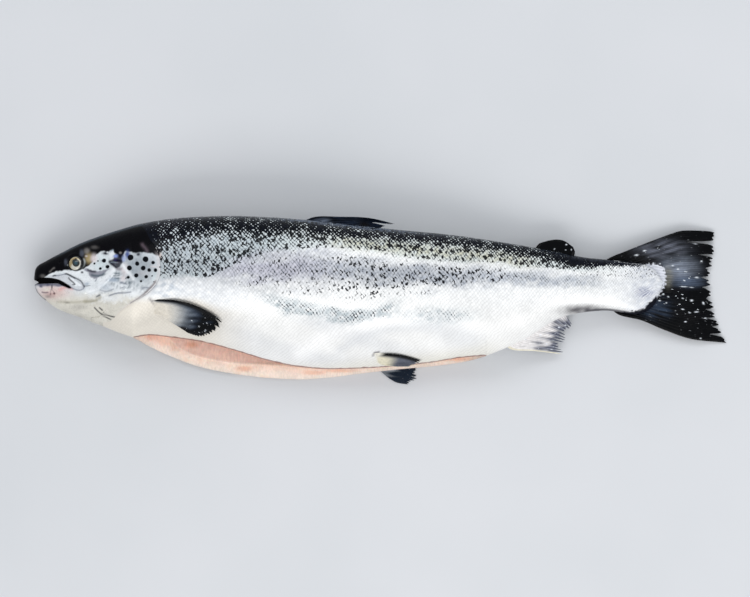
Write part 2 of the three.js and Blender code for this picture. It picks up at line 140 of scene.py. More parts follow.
full_belly = through([
    [0, 2.2], [60, 2.1], [110, 1.8], [150, 1.5], [260, 1.5], [330, 1.7], [480, 1.95], [654, 2.4],
])
full_under = through([[0, 2.2], [60, 2.1], [110, 2], [180, 2.3], [300, 2.4], [420, 2.1], [654, 2.4]])
SLIT_START, SLIT_END, STALK_END = 103.0, 471.0, 654.0
PROP, PROP_END = 3.0, (196.0, 218.0)
agape = through([[103, 0], [125, 0.6], [150, 1], [230, 1], [285, 0.6], [325, 0.12], [360, 0], [471, 0]])
upper_lip_z = through([
    [103, 33], [125, 30], [160, 27.5], [204, 26.5], [250, 22], [300, 16], [380, 14], [440, 16], [471, 27],
])
lower_lip_z = through([
    [103, 33], [112, 18], [130, 8], [160, 6], [204, 5], [250, 3.4], [300, 4], [400, 6.4], [450, 10],
    [471, 27],
])
print("depth at the deepest section:", back(204.0) - belly(277.0), "mm")

# %% The two flanks as heights over the counter


def corners(x):
    """(y, z) of the spine, the upper lip and the lower lip of the section at x. Away from the
    slit the two lips are one point on the keel."""
    cut = (x > SLIT_START) & (x < SLIT_END)
    spine = (back(x), middle(x))
    upper_z = np.where(cut, upper_lip_z(x), middle(x))
    upper = (np.where(cut, np.maximum(lip(x), belly(x)), belly(x)), upper_z)
    lower = (belly(x), np.where(cut, np.minimum(lower_lip_z(x), upper_z), middle(x)))
    return spine, upper, lower


def flank_z(start, end, crown, full_start, full_end, y):
    """z = chord(c) + (crown - middle of chord) (1 - |c|^n)^(1/n), with c from 1 at the start
    to -1 at the end, and n the fullness of the half that y is in."""
    c = np.clip((2 * y - start[0] - end[0]) / (start[0] - end[0]), -1, 1)
    n = np.where(c > 0, full_start, full_end)
    chord = mix(end[1], start[1], (c + 1) / 2)
    swell = (1 - np.abs(c) ** n) ** (1 / n)
    return chord + (crown - (start[1] + end[1]) / 2) * swell


def upper_skin(x, y):
    """The flank that shows, from the upper lip of the slit to the spine."""
    spine, upper, _ = corners(x)
    return flank_z(spine, upper, middle(x) + half_thickness(x), full_back(x), full_belly(x), y)


def under_skin(x, y):
    """The flank that the fish lies on: pressed flat by the counter, and propped up a little
    where its breast fin is folded under it."""
    spine, _, lower = corners(x)
    z = flank_z(spine, lower, middle(x) - half_thickness(x), full_back(x), full_under(x), y)
    return np.maximum(PROP * (1 - step(*PROP_END, x)), z)


def skin(x, y, side):
    """The upper flank where side is positive, and the under one elsewhere."""
    return np.where(side > 0, upper_skin(x, y), under_skin(x, y))


print("thickest point:", float(upper_skin(np.array(280.0), np.array(-5.0))), "mm above the counter")

# %% [markdown]
# ## From a grid of points to a mesh
# Every piece is an array `points[row, column]` in fish millimetres whose last column joins its
# first one. Rows that end in one point make the two poles. Points that fall together are merged,
# so that poles and seams are closed, and the mesh is turned if its volume comes out negative.
# What the surface should look like at each point, such as its colour and the place of its
# scales, is stored beside it as named attributes that the materials read.

# %% One function makes every mesh


def colour(red, green, blue):
    """A colour as it is named on screen, 0 to 255, in the linear light that shaders mix."""
    c = np.array([red, green, blue], float) / 255
    return np.where(c <= 0.04045, c / 12.92, ((c + 0.055) / 1.055) ** 2.4)


def make_piece(name, points, material, nodes, slot, sharp_degrees=50, **marks):
    """Each square of the grid becomes two triangles. marks are arrays of one, two or three
    numbers for each point."""
    rows, columns = points.shape[:2]
    flat = points.reshape(-1, 3)
    _, first, merged = np.unique(np.round(flat, 3), axis=0, return_index=True, return_inverse=True)
    place = merged.reshape(rows, columns)
    a, d = place[:-1], place[1:]
    b, c = np.roll(a, -1, 1), np.roll(d, -1, 1)
    squares = np.stack([np.stack([a, b, c], -1), np.stack([a, c, d], -1)])
    tris = squares.reshape(-1, 3)
    whole = (tris[:, 0] != tris[:, 1]) & (tris[:, 1] != tris[:, 2]) & (tris[:, 2] != tris[:, 0])
    tris = tris[whole]
    verts = flat[first]
    p, q, r = (verts[tris[:, k]] for k in range(3))
    if np.einsum("ij,ij->i", p, np.cross(q, r)).sum() < 0:
        tris = tris[:, ::-1]
    mesh = bpy.data.meshes.new(name)
    mesh.vertices.add(len(verts))
    mesh.vertices.foreach_set("co", (verts * MM + SHIFT).ravel())
    mesh.loops.add(tris.size)
    mesh.loops.foreach_set("vertex_index", tris.ravel().astype(np.int32))
    mesh.polygons.add(len(tris))
    mesh.polygons.foreach_set("loop_start", np.arange(0, tris.size, 3, dtype=np.int32))
    mesh.update(calc_edges=True)
    for key, values in marks.items():
        values = np.broadcast_to(values, (rows, columns, *np.shape(values)[2:]))
        values = values.reshape(rows * columns, -1)[first]
        if values.shape[1] == 1:
            mesh.attributes.new(key, "FLOAT", "POINT").data.foreach_set("value", values.ravel())
            continue
        padded = np.zeros((len(first), 3))
        padded[:, : values.shape[1]] = values
        mesh.attributes.new(key, "FLOAT_VECTOR", "POINT").data.foreach_set("vector", padded.ravel())
    mesh.shade_smooth()
    mesh.set_sharp_from_angle(angle=np.radians(sharp_degrees))
    mesh.materials.append(material)
    sides = np.sort(tris[:, [0, 1, 1, 2, 2, 0]].reshape(-1, 2), axis=1)
    _, shared = np.unique(sides, axis=0, return_counts=True)
    piece = bpy.data.objects.new(name, mesh)
    bpy.context.collection.objects.link(piece)
    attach(piece, "root")
    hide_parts(*nodes)
    print(f"{name}: {len(tris)} triangles, {(shared == 1).sum()} open edges")
    return piece


# %% [markdown]
# ## Helpers for materials
# A shader is a sum written with boxes. These few functions write it as calls instead: each adds
# one box and returns its output, so a pattern reads like a formula.

# %% Short names for shader nodes


def box(tree, kind, inputs=None, out=0, **settings):
    """Adds one node, sets or links its inputs, and returns the output that is asked for."""
    made = tree.nodes.new("ShaderNode" + kind)
    for key, value in settings.items():
        setattr(made, key, value)
    for key, value in (inputs or {}).items():
        if isinstance(value, bpy.types.NodeSocket):
            tree.links.new(value, made.inputs[key])
        else:
            made.inputs[key].default_value = value
    return made.outputs[out]


def calc(tree, operation, a, b=0.0):
    """One sum, such as the larger of two numbers or a sine."""
    return box(tree, "Math", {0: a, 1: b}, operation=operation)


def plus(tree, a, b):
    """a + b"""
    return calc(tree, "ADD", a, b)


def minus(tree, a, b):
    """a - b"""
    return calc(tree, "SUBTRACT", a, b)


def times(tree, a, b):
    """a times b"""
    return calc(tree, "MULTIPLY", a, b)


def ramp(tree, value, start, end, low=0.0, high=1.0):
    """The smooth step of a value between start and end, from low to high."""
    inputs = {"Value": value, "From Min": start, "From Max": end, "To Min": low, "To Max": high}
    return box(tree, "MapRange", inputs, interpolation_type="SMOOTHSTEP")


def tint(tree, factor, under, over, way="MIX"):
    """Two colours mixed by a factor."""
    colours = [c if isinstance(c, bpy.types.NodeSocket) else (*c, 1.0) for c in (under, over)]
    inputs = {0: factor, 6: colours[0], 7: colours[1]}
    return box(tree, "Mix", inputs, out=2, data_type="RGBA", blend_type=way, clamp_factor=True)


def mark(tree, name, out="Vector"):
    """What the mesh stores at each point under that name."""
    return box(tree, "Attribute", out=out, attribute_name=name)


def noise(tree, place, scale, detail=2.0, out=0):
    """Cloudy random values between 0 and 1, with about scale clouds per unit of place."""
    return box(tree, "TexNoise", {"Vector": place, "Scale": scale, "Detail": detail}, out=out)


def scaled(tree, vector, factor):
    """A vector times a number."""
    return box(tree, "VectorMath", {0: vector, "Scale": factor}, operation="SCALE")


def added(tree, vector, other):
    """The sum of two vectors."""
    return box(tree, "VectorMath", {0: vector, 1: other}, operation="ADD")


def length(tree, vector):
    """The square root of x^2 + y^2 + z^2."""
    return box(tree, "VectorMath", {0: vector}, out="Value", operation="LENGTH")


def wander(tree, place, scale, detail):
    """A random arrow for each place, with parts between -0.5 and 0.5."""
    return added(tree, noise(tree, place, scale, detail, "Color"), (-0.5, -0.5, -0.5))


def dimmed(tree, tone, bright):
    """A colour multiplied by a number."""
    return tint(tree, 1.0, tone, box(tree, "CombineXYZ", {0: bright, 1: bright, 2: bright}), "MULTIPLY")


def relief(tree, height, strength, distance):
    """The shading of a surface with that height on it; distance is in metres."""
    return box(tree, "Bump", {"Height": height, "Strength": strength, "Distance": distance})


def wet_surface(name):
    """An empty material and its main shader, to be filled in."""
    material = bpy.data.materials.new(name)
    material.use_nodes = True
    return material, material.node_tree, material.node_tree.nodes["Principled BSDF"]


def plug(tree, shader, **sockets):
    """Connects or sets the shader's inputs; an underscore in a name stands for a space."""
    for key, value in sockets.items():
        socket = shader.inputs[key.replace("_", " ")]
        if isinstance(value, bpy.types.NodeSocket):
            tree.links.new(value, socket)
        else:
            socket.default_value = value


print("a colour halfway up the screen scale is", round(float(colour(128, 128, 128)[0]), 3), "in light")

# %% [markdown]
# ## Scales
# Salmon scales are small overlapping plates in slanting rows. The trunk stores for each point
# how many scales it lies down the fish and round it, as `flow`. Adding and subtracting those two
# numbers gives a slanting lattice: the whole part of each number names a scale, and the rest
# says where on the scale the point is. Each scale gets its own brightness, as each mirrors
# another part of its surroundings, and a raised rear edge. On the dark back only the middle of a
# scale is bright, which gives the salt-and-pepper look.

# %% The skin of the trunk
BLACK = colour(6, 9, 15)
NAVY = colour(9, 13, 24)
SHADE_GREY = colour(96, 108, 120)
RIDGE_SHEEN = colour(104, 114, 130)
BLOOD = colour(112, 46, 40)


def scale_lattice(tree, flow):
    """(two random numbers of the scale, distance from its middle, place across its slanting row,
    place towards its rear). The distance is stretched one way, as the bright part of a scale is
    a slanting stroke."""
    jitter = scaled(tree, wander(tree, flow, 0.42, 3.0), 1.5)
    down = box(tree, "SeparateXYZ", {0: added(tree, flow, jitter)})
    around = down.node.outputs[1]
    u = plus(tree, down, around)
    v = minus(tree, down, around)
    across, along = calc(tree, "FRACT", u), calc(tree, "FRACT", v)
    name = box(tree, "CombineXYZ", {0: calc(tree, "FLOOR", u), 1: calc(tree, "FLOOR", v)})
    chance = box(tree, "TexWhiteNoise", {"Vector": name}, out="Color", noise_dimensions="3D")
    chance = box(tree, "SeparateXYZ", {0: chance}).node
    aft = plus(tree, plus(tree, across, along), -1.0)
    narrow = times(tree, minus(tree, across, 0.5), 0.92)
    wide = times(tree, minus(tree, along, 0.5), 1.16)
    reach = length(tree, box(tree, "CombineXYZ", {0: narrow, 1: wide}))
    return chance.outputs[0], chance.outputs[1], reach, across, aft


def silver_plates(tree, tone, chance, reach, across, flow):
    """The trunk's colour, with each scale a little lighter or darker than the next, bright in the
    middle of its stroke and grey at its rear edge."""
    grain = times(tree, minus(tree, chance, 0.5), 0.20)
    stroke = times(tree, ramp(tree, reach, 0.12, 0.6), -0.26)
    bright = times(tree, plus(tree, plus(tree, grain, stroke), 0.07), mark(tree, "scales", "Fac"))
    row_line = times(tree, ramp(tree, across, 0.5, 0.97), -0.10)
    cloud = ramp(tree, noise(tree, flow, 0.16, 4.0), 0.3, 0.7, -0.04, 0.03)
    row_line = plus(tree, times(tree, row_line, mark(tree, "rows", "Fac")), cloud)
    return dimmed(tree, tone, plus(tree, plus(tree, bright, row_line), 1.0))


def dark_back(tree, ground, chance, reach, flow):
    """(colour, share covered). Towards the back the dark skin leaves ever less of each scale
    bright, as ink dots grow together in the dark parts of a newspaper picture."""
    uneven = ramp(tree, noise(tree, flow, 0.21, 3.0), 0.3, 0.7, -0.16, 0.16)
    dark = mark(tree, "dark", "Fac")
    dark = plus(tree, dark, times(tree, uneven, dark))
    bright_size = minus(tree, 0.95, times(tree, dark, 0.80))
    bright_size = plus(tree, bright_size, times(tree, minus(tree, chance, 0.5), 0.34))
    cover = ramp(tree, minus(tree, reach, bright_size), -0.11, 0.06)
    ink = tint(tree, ramp(tree, dark, 0.0, 0.75), SHADE_GREY, NAVY)
    # A painted sheen: the ridge's pale blue-grey is tinted into the dark skin by the "rim" mark.
    ink = tint(tree, mark(tree, "rim", "Fac"), ink, RIDGE_SHEEN)
    return tint(tree, cover, ground, ink), cover


def black_blots(tree, flow, second_chance, reach, aft):
    """Share covered by black blots: ragged, of uneven size, and broken up by the bright strokes
    they lie on. Some scales have a black crescent at their rear edge instead."""
    cells = tree.nodes.new("ShaderNodeTexVoronoi")
    cells.voronoi_dimensions = "2D"
    cells.inputs["Scale"].default_value = 0.92
    ragged = scaled(tree, wander(tree, flow, 1.9, 2.0), 1.2)
    tree.links.new(added(tree, flow, ragged), cells.inputs["Vector"])
    luck = box(tree, "SeparateXYZ", {0: cells.outputs["Color"]})
    spots = mark(tree, "spots", "Fac")
    size = times(tree, spots, ramp(tree, luck, 0.0, 1.0, 0.06, 0.50))
    broken = times(tree, minus(tree, 0.28, reach), 0.3)
    inside = plus(tree, minus(tree, cells.outputs["Distance"], size), broken)
    blot = ramp(tree, inside, 0.06, -0.06)
    picked = ramp(tree, minus(tree, second_chance, times(tree, spots, 0.26)), 0.02, -0.02)
    crescent = times(tree, ramp(tree, reach, 0.26, 0.40), ramp(tree, aft, 0.0, 0.25))
    blot = calc(tree, "MAXIMUM", blot, times(tree, crescent, picked))
    return times(tree, blot, ramp(tree, spots, 0.0, 0.6, 0.0, 0.97))


def scaled_skin():
    """Silver plates, dark back, blots and blood, over strokes that stand proud of the gaps."""
    material, tree, shader = wet_surface("scaled_skin")
    flow = mark(tree, "flow")
    chance, second_chance, reach, across, aft = scale_lattice(tree, flow)
    ground = silver_plates(tree, mark(tree, "tone"), chance, reach, across, flow)
    ground, cover = dark_back(tree, ground, chance, reach, flow)
    blot = black_blots(tree, flow, second_chance, reach, aft)
    ground = tint(tree, blot, ground, BLACK)
    ground = tint(tree, mark(tree, "blood", "Fac"), ground, BLOOD)
    plate = times(tree, ramp(tree, reach, 0.62, 0.1), mark(tree, "scales", "Fac"))
    height = plus(tree, plate, times(tree, noise(tree, flow, 3.1, 3.0), 0.2))
    covered = calc(tree, "MAXIMUM", cover, blot)
    rough = minus(tree, 0.3, times(tree, covered, 0.12))
    rough = plus(tree, rough, times(tree, chance, 0.1))
    shine = times(tree, minus(tree, 1.0, covered), mark(tree, "shine", "Fac"))
    plug(tree, shader, Base_Color=ground, Roughness=rough, Metallic=shine)
    plug(tree, shader, Normal=relief(tree, height, 0.5, 0.0003))
    plug(tree, shader, Coat_Weight=0.04, Coat_Roughness=0.1, IOR=1.16)
    return material


trunk_skin = scaled_skin()
print("the trunk's skin has", len(trunk_skin.node_tree.nodes), "nodes")

# %% [markdown]
# ## The head's skin
# The head has no scales: it is smooth, slimy skin over bone. Its colours change within a few
# millimetres, from the black brow to the silver cheek and the cream throat, so the mesh carries
# them, and the material only adds fine mottling, the round black spots of the gill cover, and
# the wet gloss. The spots are stored as the distance to the nearest rim, which stays crisp at
# any size, as the letters of a vector font do.

# %% The skin of the head


def head_skin():
    """The stored colours, mottled and spotted, under a thin wet coat."""
    material, tree, shader = wet_surface("head_skin")
    place = box(tree, "TexCoord", out="Object")
    mottle = noise(tree, place, 420.0, 4.0)
    cloud = noise(tree, place, 130.0, 4.0)
    lighten = ramp(tree, plus(tree, times(tree, mottle, 0.4), cloud), 0.5, 0.9, 0.93, 1.05)
    ground = dimmed(tree, mark(tree, "tone"), lighten)
    wobble = times(tree, minus(tree, cloud, 0.5), 2.2)
    spot = ramp(tree, plus(tree, mark(tree, "spot", "Fac"), wobble), 0.45, -0.35)
    ground = tint(tree, spot, ground, BLACK)
    height = plus(tree, mottle, times(tree, cloud, 2.0))
    shine = times(tree, minus(tree, 1.0, spot), mark(tree, "shine", "Fac"))
    rough = ramp(tree, mottle, 0.3, 0.7, 0.24, 0.42)
    plug(tree, shader, Base_Color=ground, Roughness=rough, Metallic=shine)
    plug(tree, shader, Normal=relief(tree, height, 0.35, 0.0004))
    plug(tree, shader, Coat_Weight=0.03, Coat_Roughness=0.08, IOR=1.14)
    return material


smooth_head_skin = head_skin()
print("the head's skin has", len(smooth_head_skin.node_tree.nodes), "nodes")

# %% [markdown]
# ## The shape of the head
# The head is one grid: columns run round it, rows run from the snout to the free rear edge of
# the gill cover. Its bones are raised or sunk on the smooth flank by a height in millimetres,
# the sum of a few plates and grooves. The mouth is a groove so deep that it reaches the middle
# of the head from both sides. The last rows curl round the gill cover's edge and close the
# surface inside the trunk.

# %% Distances on the flank, for bones, grooves and patches


def smooth_line(points, count=60):
    """A Catmull-Rom curve through points, as count points at equal steps along it."""
    p = np.array(points, float)
    p = np.vstack([2 * p[0] - p[1], p, 2 * p[-1] - p[-2]])
    t = np.linspace(0, len(p) - 3, 24 * len(p))
    i = np.minimum(t.astype(int), len(p) - 4)
    t = (t - i)[:, None]
    a, b, c, d = p[i], p[i + 1], p[i + 2], p[i + 3]
    bend, twist = 2 * a - 5 * b + 4 * c - d, 3 * b - a - 3 * c + d
    curve = 0.5 * (2 * b + (c - a) * t + bend * t**2 + twist * t**3)
    run = np.concatenate([[0], np.cumsum(np.hypot(*np.diff(curve, axis=0).T))])
    even = np.linspace(0, run[-1], count)
    return np.stack([np.interp(even, run, curve[:, k]) for k in (0, 1)], -1)


def segment_gap(x, y, p, q):
    """Distance from (x, y) to the straight line from p to q."""
    along = q - p
    t = np.clip(((x - p[0]) * along[0] + (y - p[1]) * along[1]) / (along @ along), 0, 1)
    return np.hypot(x - p[0] - t * along[0], y - p[1] - t * along[1])


def line_gap(x, y, points, count=24):
    """Distance from (x, y) to a smooth line."""
    line = smooth_line(points, count)
    return np.min([segment_gap(x, y, p, q) for p, q in zip(line[:-1], line[1:])], axis=0)


def outline_gap(x, y, points, count=48):
    """Signed distance to a closed smooth outline: negative inside it."""
    p = np.array(points, float)
    line = smooth_line(np.vstack([p, p[:1]]), count)
    gap = np.min([segment_gap(x, y, a, b) for a, b in zip(line[:-1], line[1:])], axis=0)
    inside = np.zeros(np.shape(x), bool)
    for (ax, ay), (bx, by) in zip(line[:-1], line[1:]):
        crosses = (ay > y) != (by > y)
        inside ^= crosses & (x < ax + (y - ay) * (bx - ax) / np.where(by == ay, 1, by - ay))
    return np.where(inside, -gap, gap)


def soft_line(x, y, points, width):
    """1 on a smooth line, falling as a bell to either side of it."""
    return bell(line_gap(x, y, points), width)


diagonal = float(line_gap(0.0, 1.0, [[0, 0], [1, 1]]))
print("a corner of a 1 mm square lies", round(diagonal, 3), "mm from its other diagonal")

# %% Where the bones of the head lie, in fish millimetres [x, y]
EYE = np.array([43.7, 28.1])
EYE_RADIUS, EYE_BULGE, EYE_SUNK = 8.2, 5.0, 2.4
HEAD_EDGE = [
    [72, -33.5], [79.5, -32.6], [84.5, -28], [89.4, -22.9], [101.9, -13.5], [112, -7.4], [120.6, -1],
    [127.9, 8.3], [131.4, 19], [131.2, 29.1], [128, 41.6], [121.5, 52], [116.5, 62], [113, 66],
]
MOUTH_GAP = [
    [-6, 10.5], [1, 9.6], [6, 12], [14, 12.8], [25, 10.9], [33, 6.8], [38.5, 2.6], [37, 2.2], [30.2, 4.9],
    [25.6, 6.8], [18.2, 7.0], [7, 6.6], [1, 6.2], [-6, 5.5],
]
JAW_BONE = [
    [13, 14.8], [20, 15.6], [27, 16.4], [33, 16.9], [41.5, 13.4], [48.9, 9.6], [52.7, 4.2], [52, 1],
    [48.9, -0.2], [43.6, -0.3], [38.3, 2.7], [33, 7.4], [25.6, 11.1], [15, 13.2],
]
SMALL_BONE = [[34, 13.6], [39, 12.6], [46, 7.8], [49.6, 4.2], [46, 4], [41, 4.4], [37.5, 9.2]]
CHEEK_CREST = [[83, 33], [82, 19.5], [75, 9.6], [65.5, 2], [52, -3]]
COVER_SEAM = [[97, 16], [101, 7.3], [96.7, 0], [85.3, -3.1], [74, -5.5]]
COVER_RAY = [[92, 30], [98, 19], [104, 3], [108, -6]]
THROAT_CREASE = [[11.5, -10], [27, -11.8], [42.6, -12.8], [57, -11.6], [68.6, -9.2]]
GILL_RAYS = [
    [[63, -18.4], [67.6, -23], [74, -27.6], [79.6, -30.6]], [[68, -18.4], [71, -21]],
    [[72.6, -24], [78, -26.8], [83.6, -28]],
]
NOSTRILS = [[26.6, 28.6], [29.6, 28.9]]
MOUTH_NOTCH, MOUTH_DEPTH = 4.6, 0.93
SLATE_CHEEK = [
    [51.6, 21.2], [54.6, 22.4], [59.9, 20.4], [66.3, 19.6], [72, 20.2], [78.5, 22.4], [75.3, 19.2],
    [72.7, 17], [70.5, 14.9], [63.7, 12.3], [59.4, 12.8], [56.8, 17.6],
]
DARK_HOLLOW = [
    [78.4, 31.4], [82.6, 32.6], [84.4, 37.6], [90, 36.6], [93, 36.6], [92.4, 30.3], [90.6, 26.6],
    [88.6, 23.4], [85.4, 22.4], [81.7, 25], [78.9, 27.7],
]


def section_share(x, y):
    """0 at the belly and 1 at the back of the section at x."""
    return (y - belly(x)) / (back(x) - belly(x))


edge_x, edge_y = np.array(HEAD_EDGE).T
head_edge = through(np.stack([section_share(edge_x, edge_y), edge_x], -1))
print("gill cover's rearmost point:", round(float(head_edge(section_share(131.4, 19))), 1), "mm")


def bone_relief(x, y):
    """Height of the head's bones over the smooth flank, in millimetres: plates are steps at
    their outlines, ridges and grooves are bells across their lines."""
    rise = step(66, 130, x) * step(58, 26, y) * step(-40, -22, y)
    height = 0.15 + 2.3 * rise
    height += 1.5 * step(0.5, -0.9, outline_gap(x, y, JAW_BONE)) * step(15, 30, x)
    height += 0.6 * step(0.4, -0.8, outline_gap(x, y, SMALL_BONE))
    behind_crest = [[px + 3.4, py - 0.6] for px, py in CHEEK_CREST]
    ridges = [
        (JAW_BONE[2:8], 0.9, -0.7), (CHEEK_CREST, 3.2, 0.8), (behind_crest, 1.2, -0.9),
        (COVER_SEAM, 0.9, -0.6), (COVER_RAY, 1.1, -0.35), (THROAT_CREASE, 1.4, -1.3),
        *((ray, 0.7, -0.6) for ray in GILL_RAYS),
    ]
    for points, width, high in ridges:
        height += high * soft_line(x, y, points, width)
    for nostril in NOSTRILS:
        height -= 1.1 * bell(np.hypot(x - nostril[0], y - nostril[1]), 0.9)
    from_eye = np.hypot(x - EYE[0], y - EYE[1])
    height += 0.7 * bell(from_eye - 9.4, 1.3)
    return height - 3.4 * step(7.6, 5.6, from_eye)


# %% [markdown]
# ## The head's colours
# Colours are laid on in layers, as a painter would: a ground, then patches with soft borders.
# Each patch is one line: a colour, a place, a size and a strength.

# %% Painting helpers and the head's patches
SNOUT_BLACK = colour(3, 3, 7)
CHEEK_SILVER = colour(228, 233, 237)
COVER_GREY = colour(156, 165, 173)
THROAT_CREAM = colour(216, 213, 203)
JAW_PINK = colour(216, 190, 184)
JAW_BROWN = colour(140, 104, 102)
GUM_PINK = colour(216, 166, 164)
CREASE_OLIVE = colour(150, 144, 120)
GOLD = colour(172, 154, 114)
STONE = colour(138, 134, 132)
ROSE_WHITE = colour(228, 218, 220)
PALE_BLUE = colour(208, 220, 224)
SKY_BLUE = colour(140, 158, 220)
MIST_SKY = colour(170, 184, 224)
VIOLET = colour(40, 30, 84)
MAUVE = colour(112, 98, 108)
DEEP_BLUE = colour(66, 84, 142)
SLATE = colour(112, 118, 134)
DARK_SLATE = colour(44, 52, 66)
SNOW = colour(240, 244, 248)
INK_BLUE = colour(14, 16, 36)
MIST_BLUE = colour(160, 174, 190)
TEAL_GREY = colour(84, 98, 108)
JAW_GREY = colour(84, 86, 106)
CREASE_GREY = colour(180, 186, 186)
SLATE_FILL = colour(128, 128, 142)
HOLLOW_INK = colour(26, 28, 42)
CROWN_SHEEN = colour(74, 84, 94)
THROAT_SHADE = colour(150, 148, 142)
JAW_SILVER = colour(204, 208, 214)
RAY_INK = colour(34, 36, 44)
SOCKET_BLACK = colour(14, 14, 18)
MOUTH_SHADE = colour(12, 8, 10)
COVER_RIM = colour(214, 206, 206)
BROW_EDGE = through([
    [0, 5], [6, 10], [12.6, 14.2], [21, 18.6], [30, 20.2], [36, 20.6], [48, 21.0], [54, 23.6],
    [58.5, 26.8], [61, 29.6], [65, 37.0], [71, 40.2], [76.9, 39.4], [79, 40.4], [82.2, 41.4],
    [83.6, 38.6], [87, 36.6],
    [90, 35.4], [92.6, 36.4], [94.5, 39.6], [96, 40.4], [100.8, 39.6], [106.6, 38.6], [111.4, 38.8],
    [116.7, 39.2], [121.5, 38.3], [126.3, 36.2], [129.4, 35.2], [133, 34.6],
])
# Soft ovals: colour, [x, y], [half length, half height], strength.
GROUND_PATCHES = [(COVER_GREY, [108, 23], [23, 18], 0.9), (PALE_BLUE, [70, 28], [10, 9], 0.8)]
PATCHES = [
    (SLATE, [49.9, 38.4], [2.4, 3.6], 0.45), (SLATE, [33, 28.8], [1.6, 3.4], 0.35),
    (STONE, [9.3, 14.5], [3, 2], 0.35), (STONE, [55, 40.6], [3, 3.2], 0.75),
    (STONE, [63, 44.4], [4, 2], 0.3),
    (GOLD, [57.2, 33], [4, 5.2], 0.95), (ROSE_WHITE, [54.4, 35.2], [1.2, 1.0], 0.6),
    (ROSE_WHITE, [62.4, 33], [3.6, 4.6], 0.95), (INK_BLUE, [74.3, 38.2], [3.1, 1.6], 1.0),
    # The small snow-white oval at [76.6, 39.3] is a painted highlight.
    (SNOW, [76.6, 39.3], [1.1, 0.8], 0.9), (SNOW, [80.2, 35.8], [2.1, 3.8], 0.95),
    (SKY_BLUE, [85.2, 35.2], [2.7, 1.6], 0.95), (INK_BLUE, [89.7, 35.4], [2.8, 2.4], 1.0),
    (INK_BLUE, [87.6, 30.4], [5.4, 1.9], 1.0), (VIOLET, [84.6, 31.4], [2.2, 1.1], 0.7),
    (MAUVE, [87.2, 28.3], [2.0, 0.7], 0.6), (MAUVE, [88.4, 21.8], [4.4, 1.6], 0.6),
    (DEEP_BLUE, [97.2, 36.8], [2.6, 4.6], 0.95), (MIST_SKY, [93.4, 32.8], [1.9, 3.4], 0.9),
    (STONE, [89.8, 38.8], [1.4, 1.0], 0.9), (INK_BLUE, [108.5, 37.2], [2.2, 1.8], 0.95),
    (PALE_BLUE, [127, 14], [4.5, 8], 0.7), (ROSE_WHITE, [114, 17.8], [7, 3], 0.2),
    # The rose-white streak at [124.6, 24.2] is a painted highlight.
    (ROSE_WHITE, [124.6, 24.2], [3.6, 0.9], 0.7), (ROSE_WHITE, [94.6, 21], [4, 6], 0.7),
    (ROSE_WHITE, [92.5, 12], [3, 3], 0.7), (MIST_BLUE, [82.5, 10.6], [6, 2.6], 0.9),
    (TEAL_GREY, [87.3, 12.2], [2.8, 0.9], 0.75), (MIST_BLUE, [75, 3], [6, 4], 0.4),
    (TEAL_GREY, [99.2, 7.2], [1.5, 2.2], 0.9), (MIST_BLUE, [55, 6.2], [2.8, 2.1], 0.7),
    (JAW_PINK, [20, -1.6], [18, 8], 0.9), (JAW_BROWN, [17, -6], [6, 3], 0.4),
    (THROAT_CREAM, [13, 0.6], [4, 2], 0.7), (JAW_GREY, [12, 5.4], [15, 1.7], 0.8),
    (JAW_GREY, [7, 4], [1.8, 1.6], 0.9), (JAW_GREY, [14.4, 5.6], [1.8, 1.6], 0.9),
    (JAW_GREY, [27, 4.8], [6, 1.4], 0.75), (INK_BLUE, [31.4, 5.4], [2.4, 1.2], 0.85),
    (INK_BLUE, [18.6, 3.4], [1.0, 2.6], 0.95), (JAW_BROWN, [20.9, -3.6], [1.3, 1.3], 1.0),
    (INK_BLUE, [20.9, -3.6], [0.9, 0.9], 0.6), (JAW_BROWN, [17.4, -4], [0.9, 0.9], 0.8),
    (STONE, [14.4, -6.6], [2.6, 1.4], 0.45), (STONE, [34.4, -13], [3.2, 1.1], 0.6),
    (STONE, [46, -17.6], [9, 3], 0.3), (SNOW, [40, 18.2], [10, 1.4], 0.8),
    (SNOW, [54, 11], [6, 3.4], 0.55), (SNOW, [104, -4], [9, 4], 0.7), (SNOW, [60, 0], [6, 4], 0.6),
    (SNOW, [80, -9], [14, 4], 0.6), (INK_BLUE, [49.9, 18.5], [1.2, 1.1], 1.0),
    (CREASE_GREY, [35.3, 25.7], [0.9, 0.8], 0.6),
]
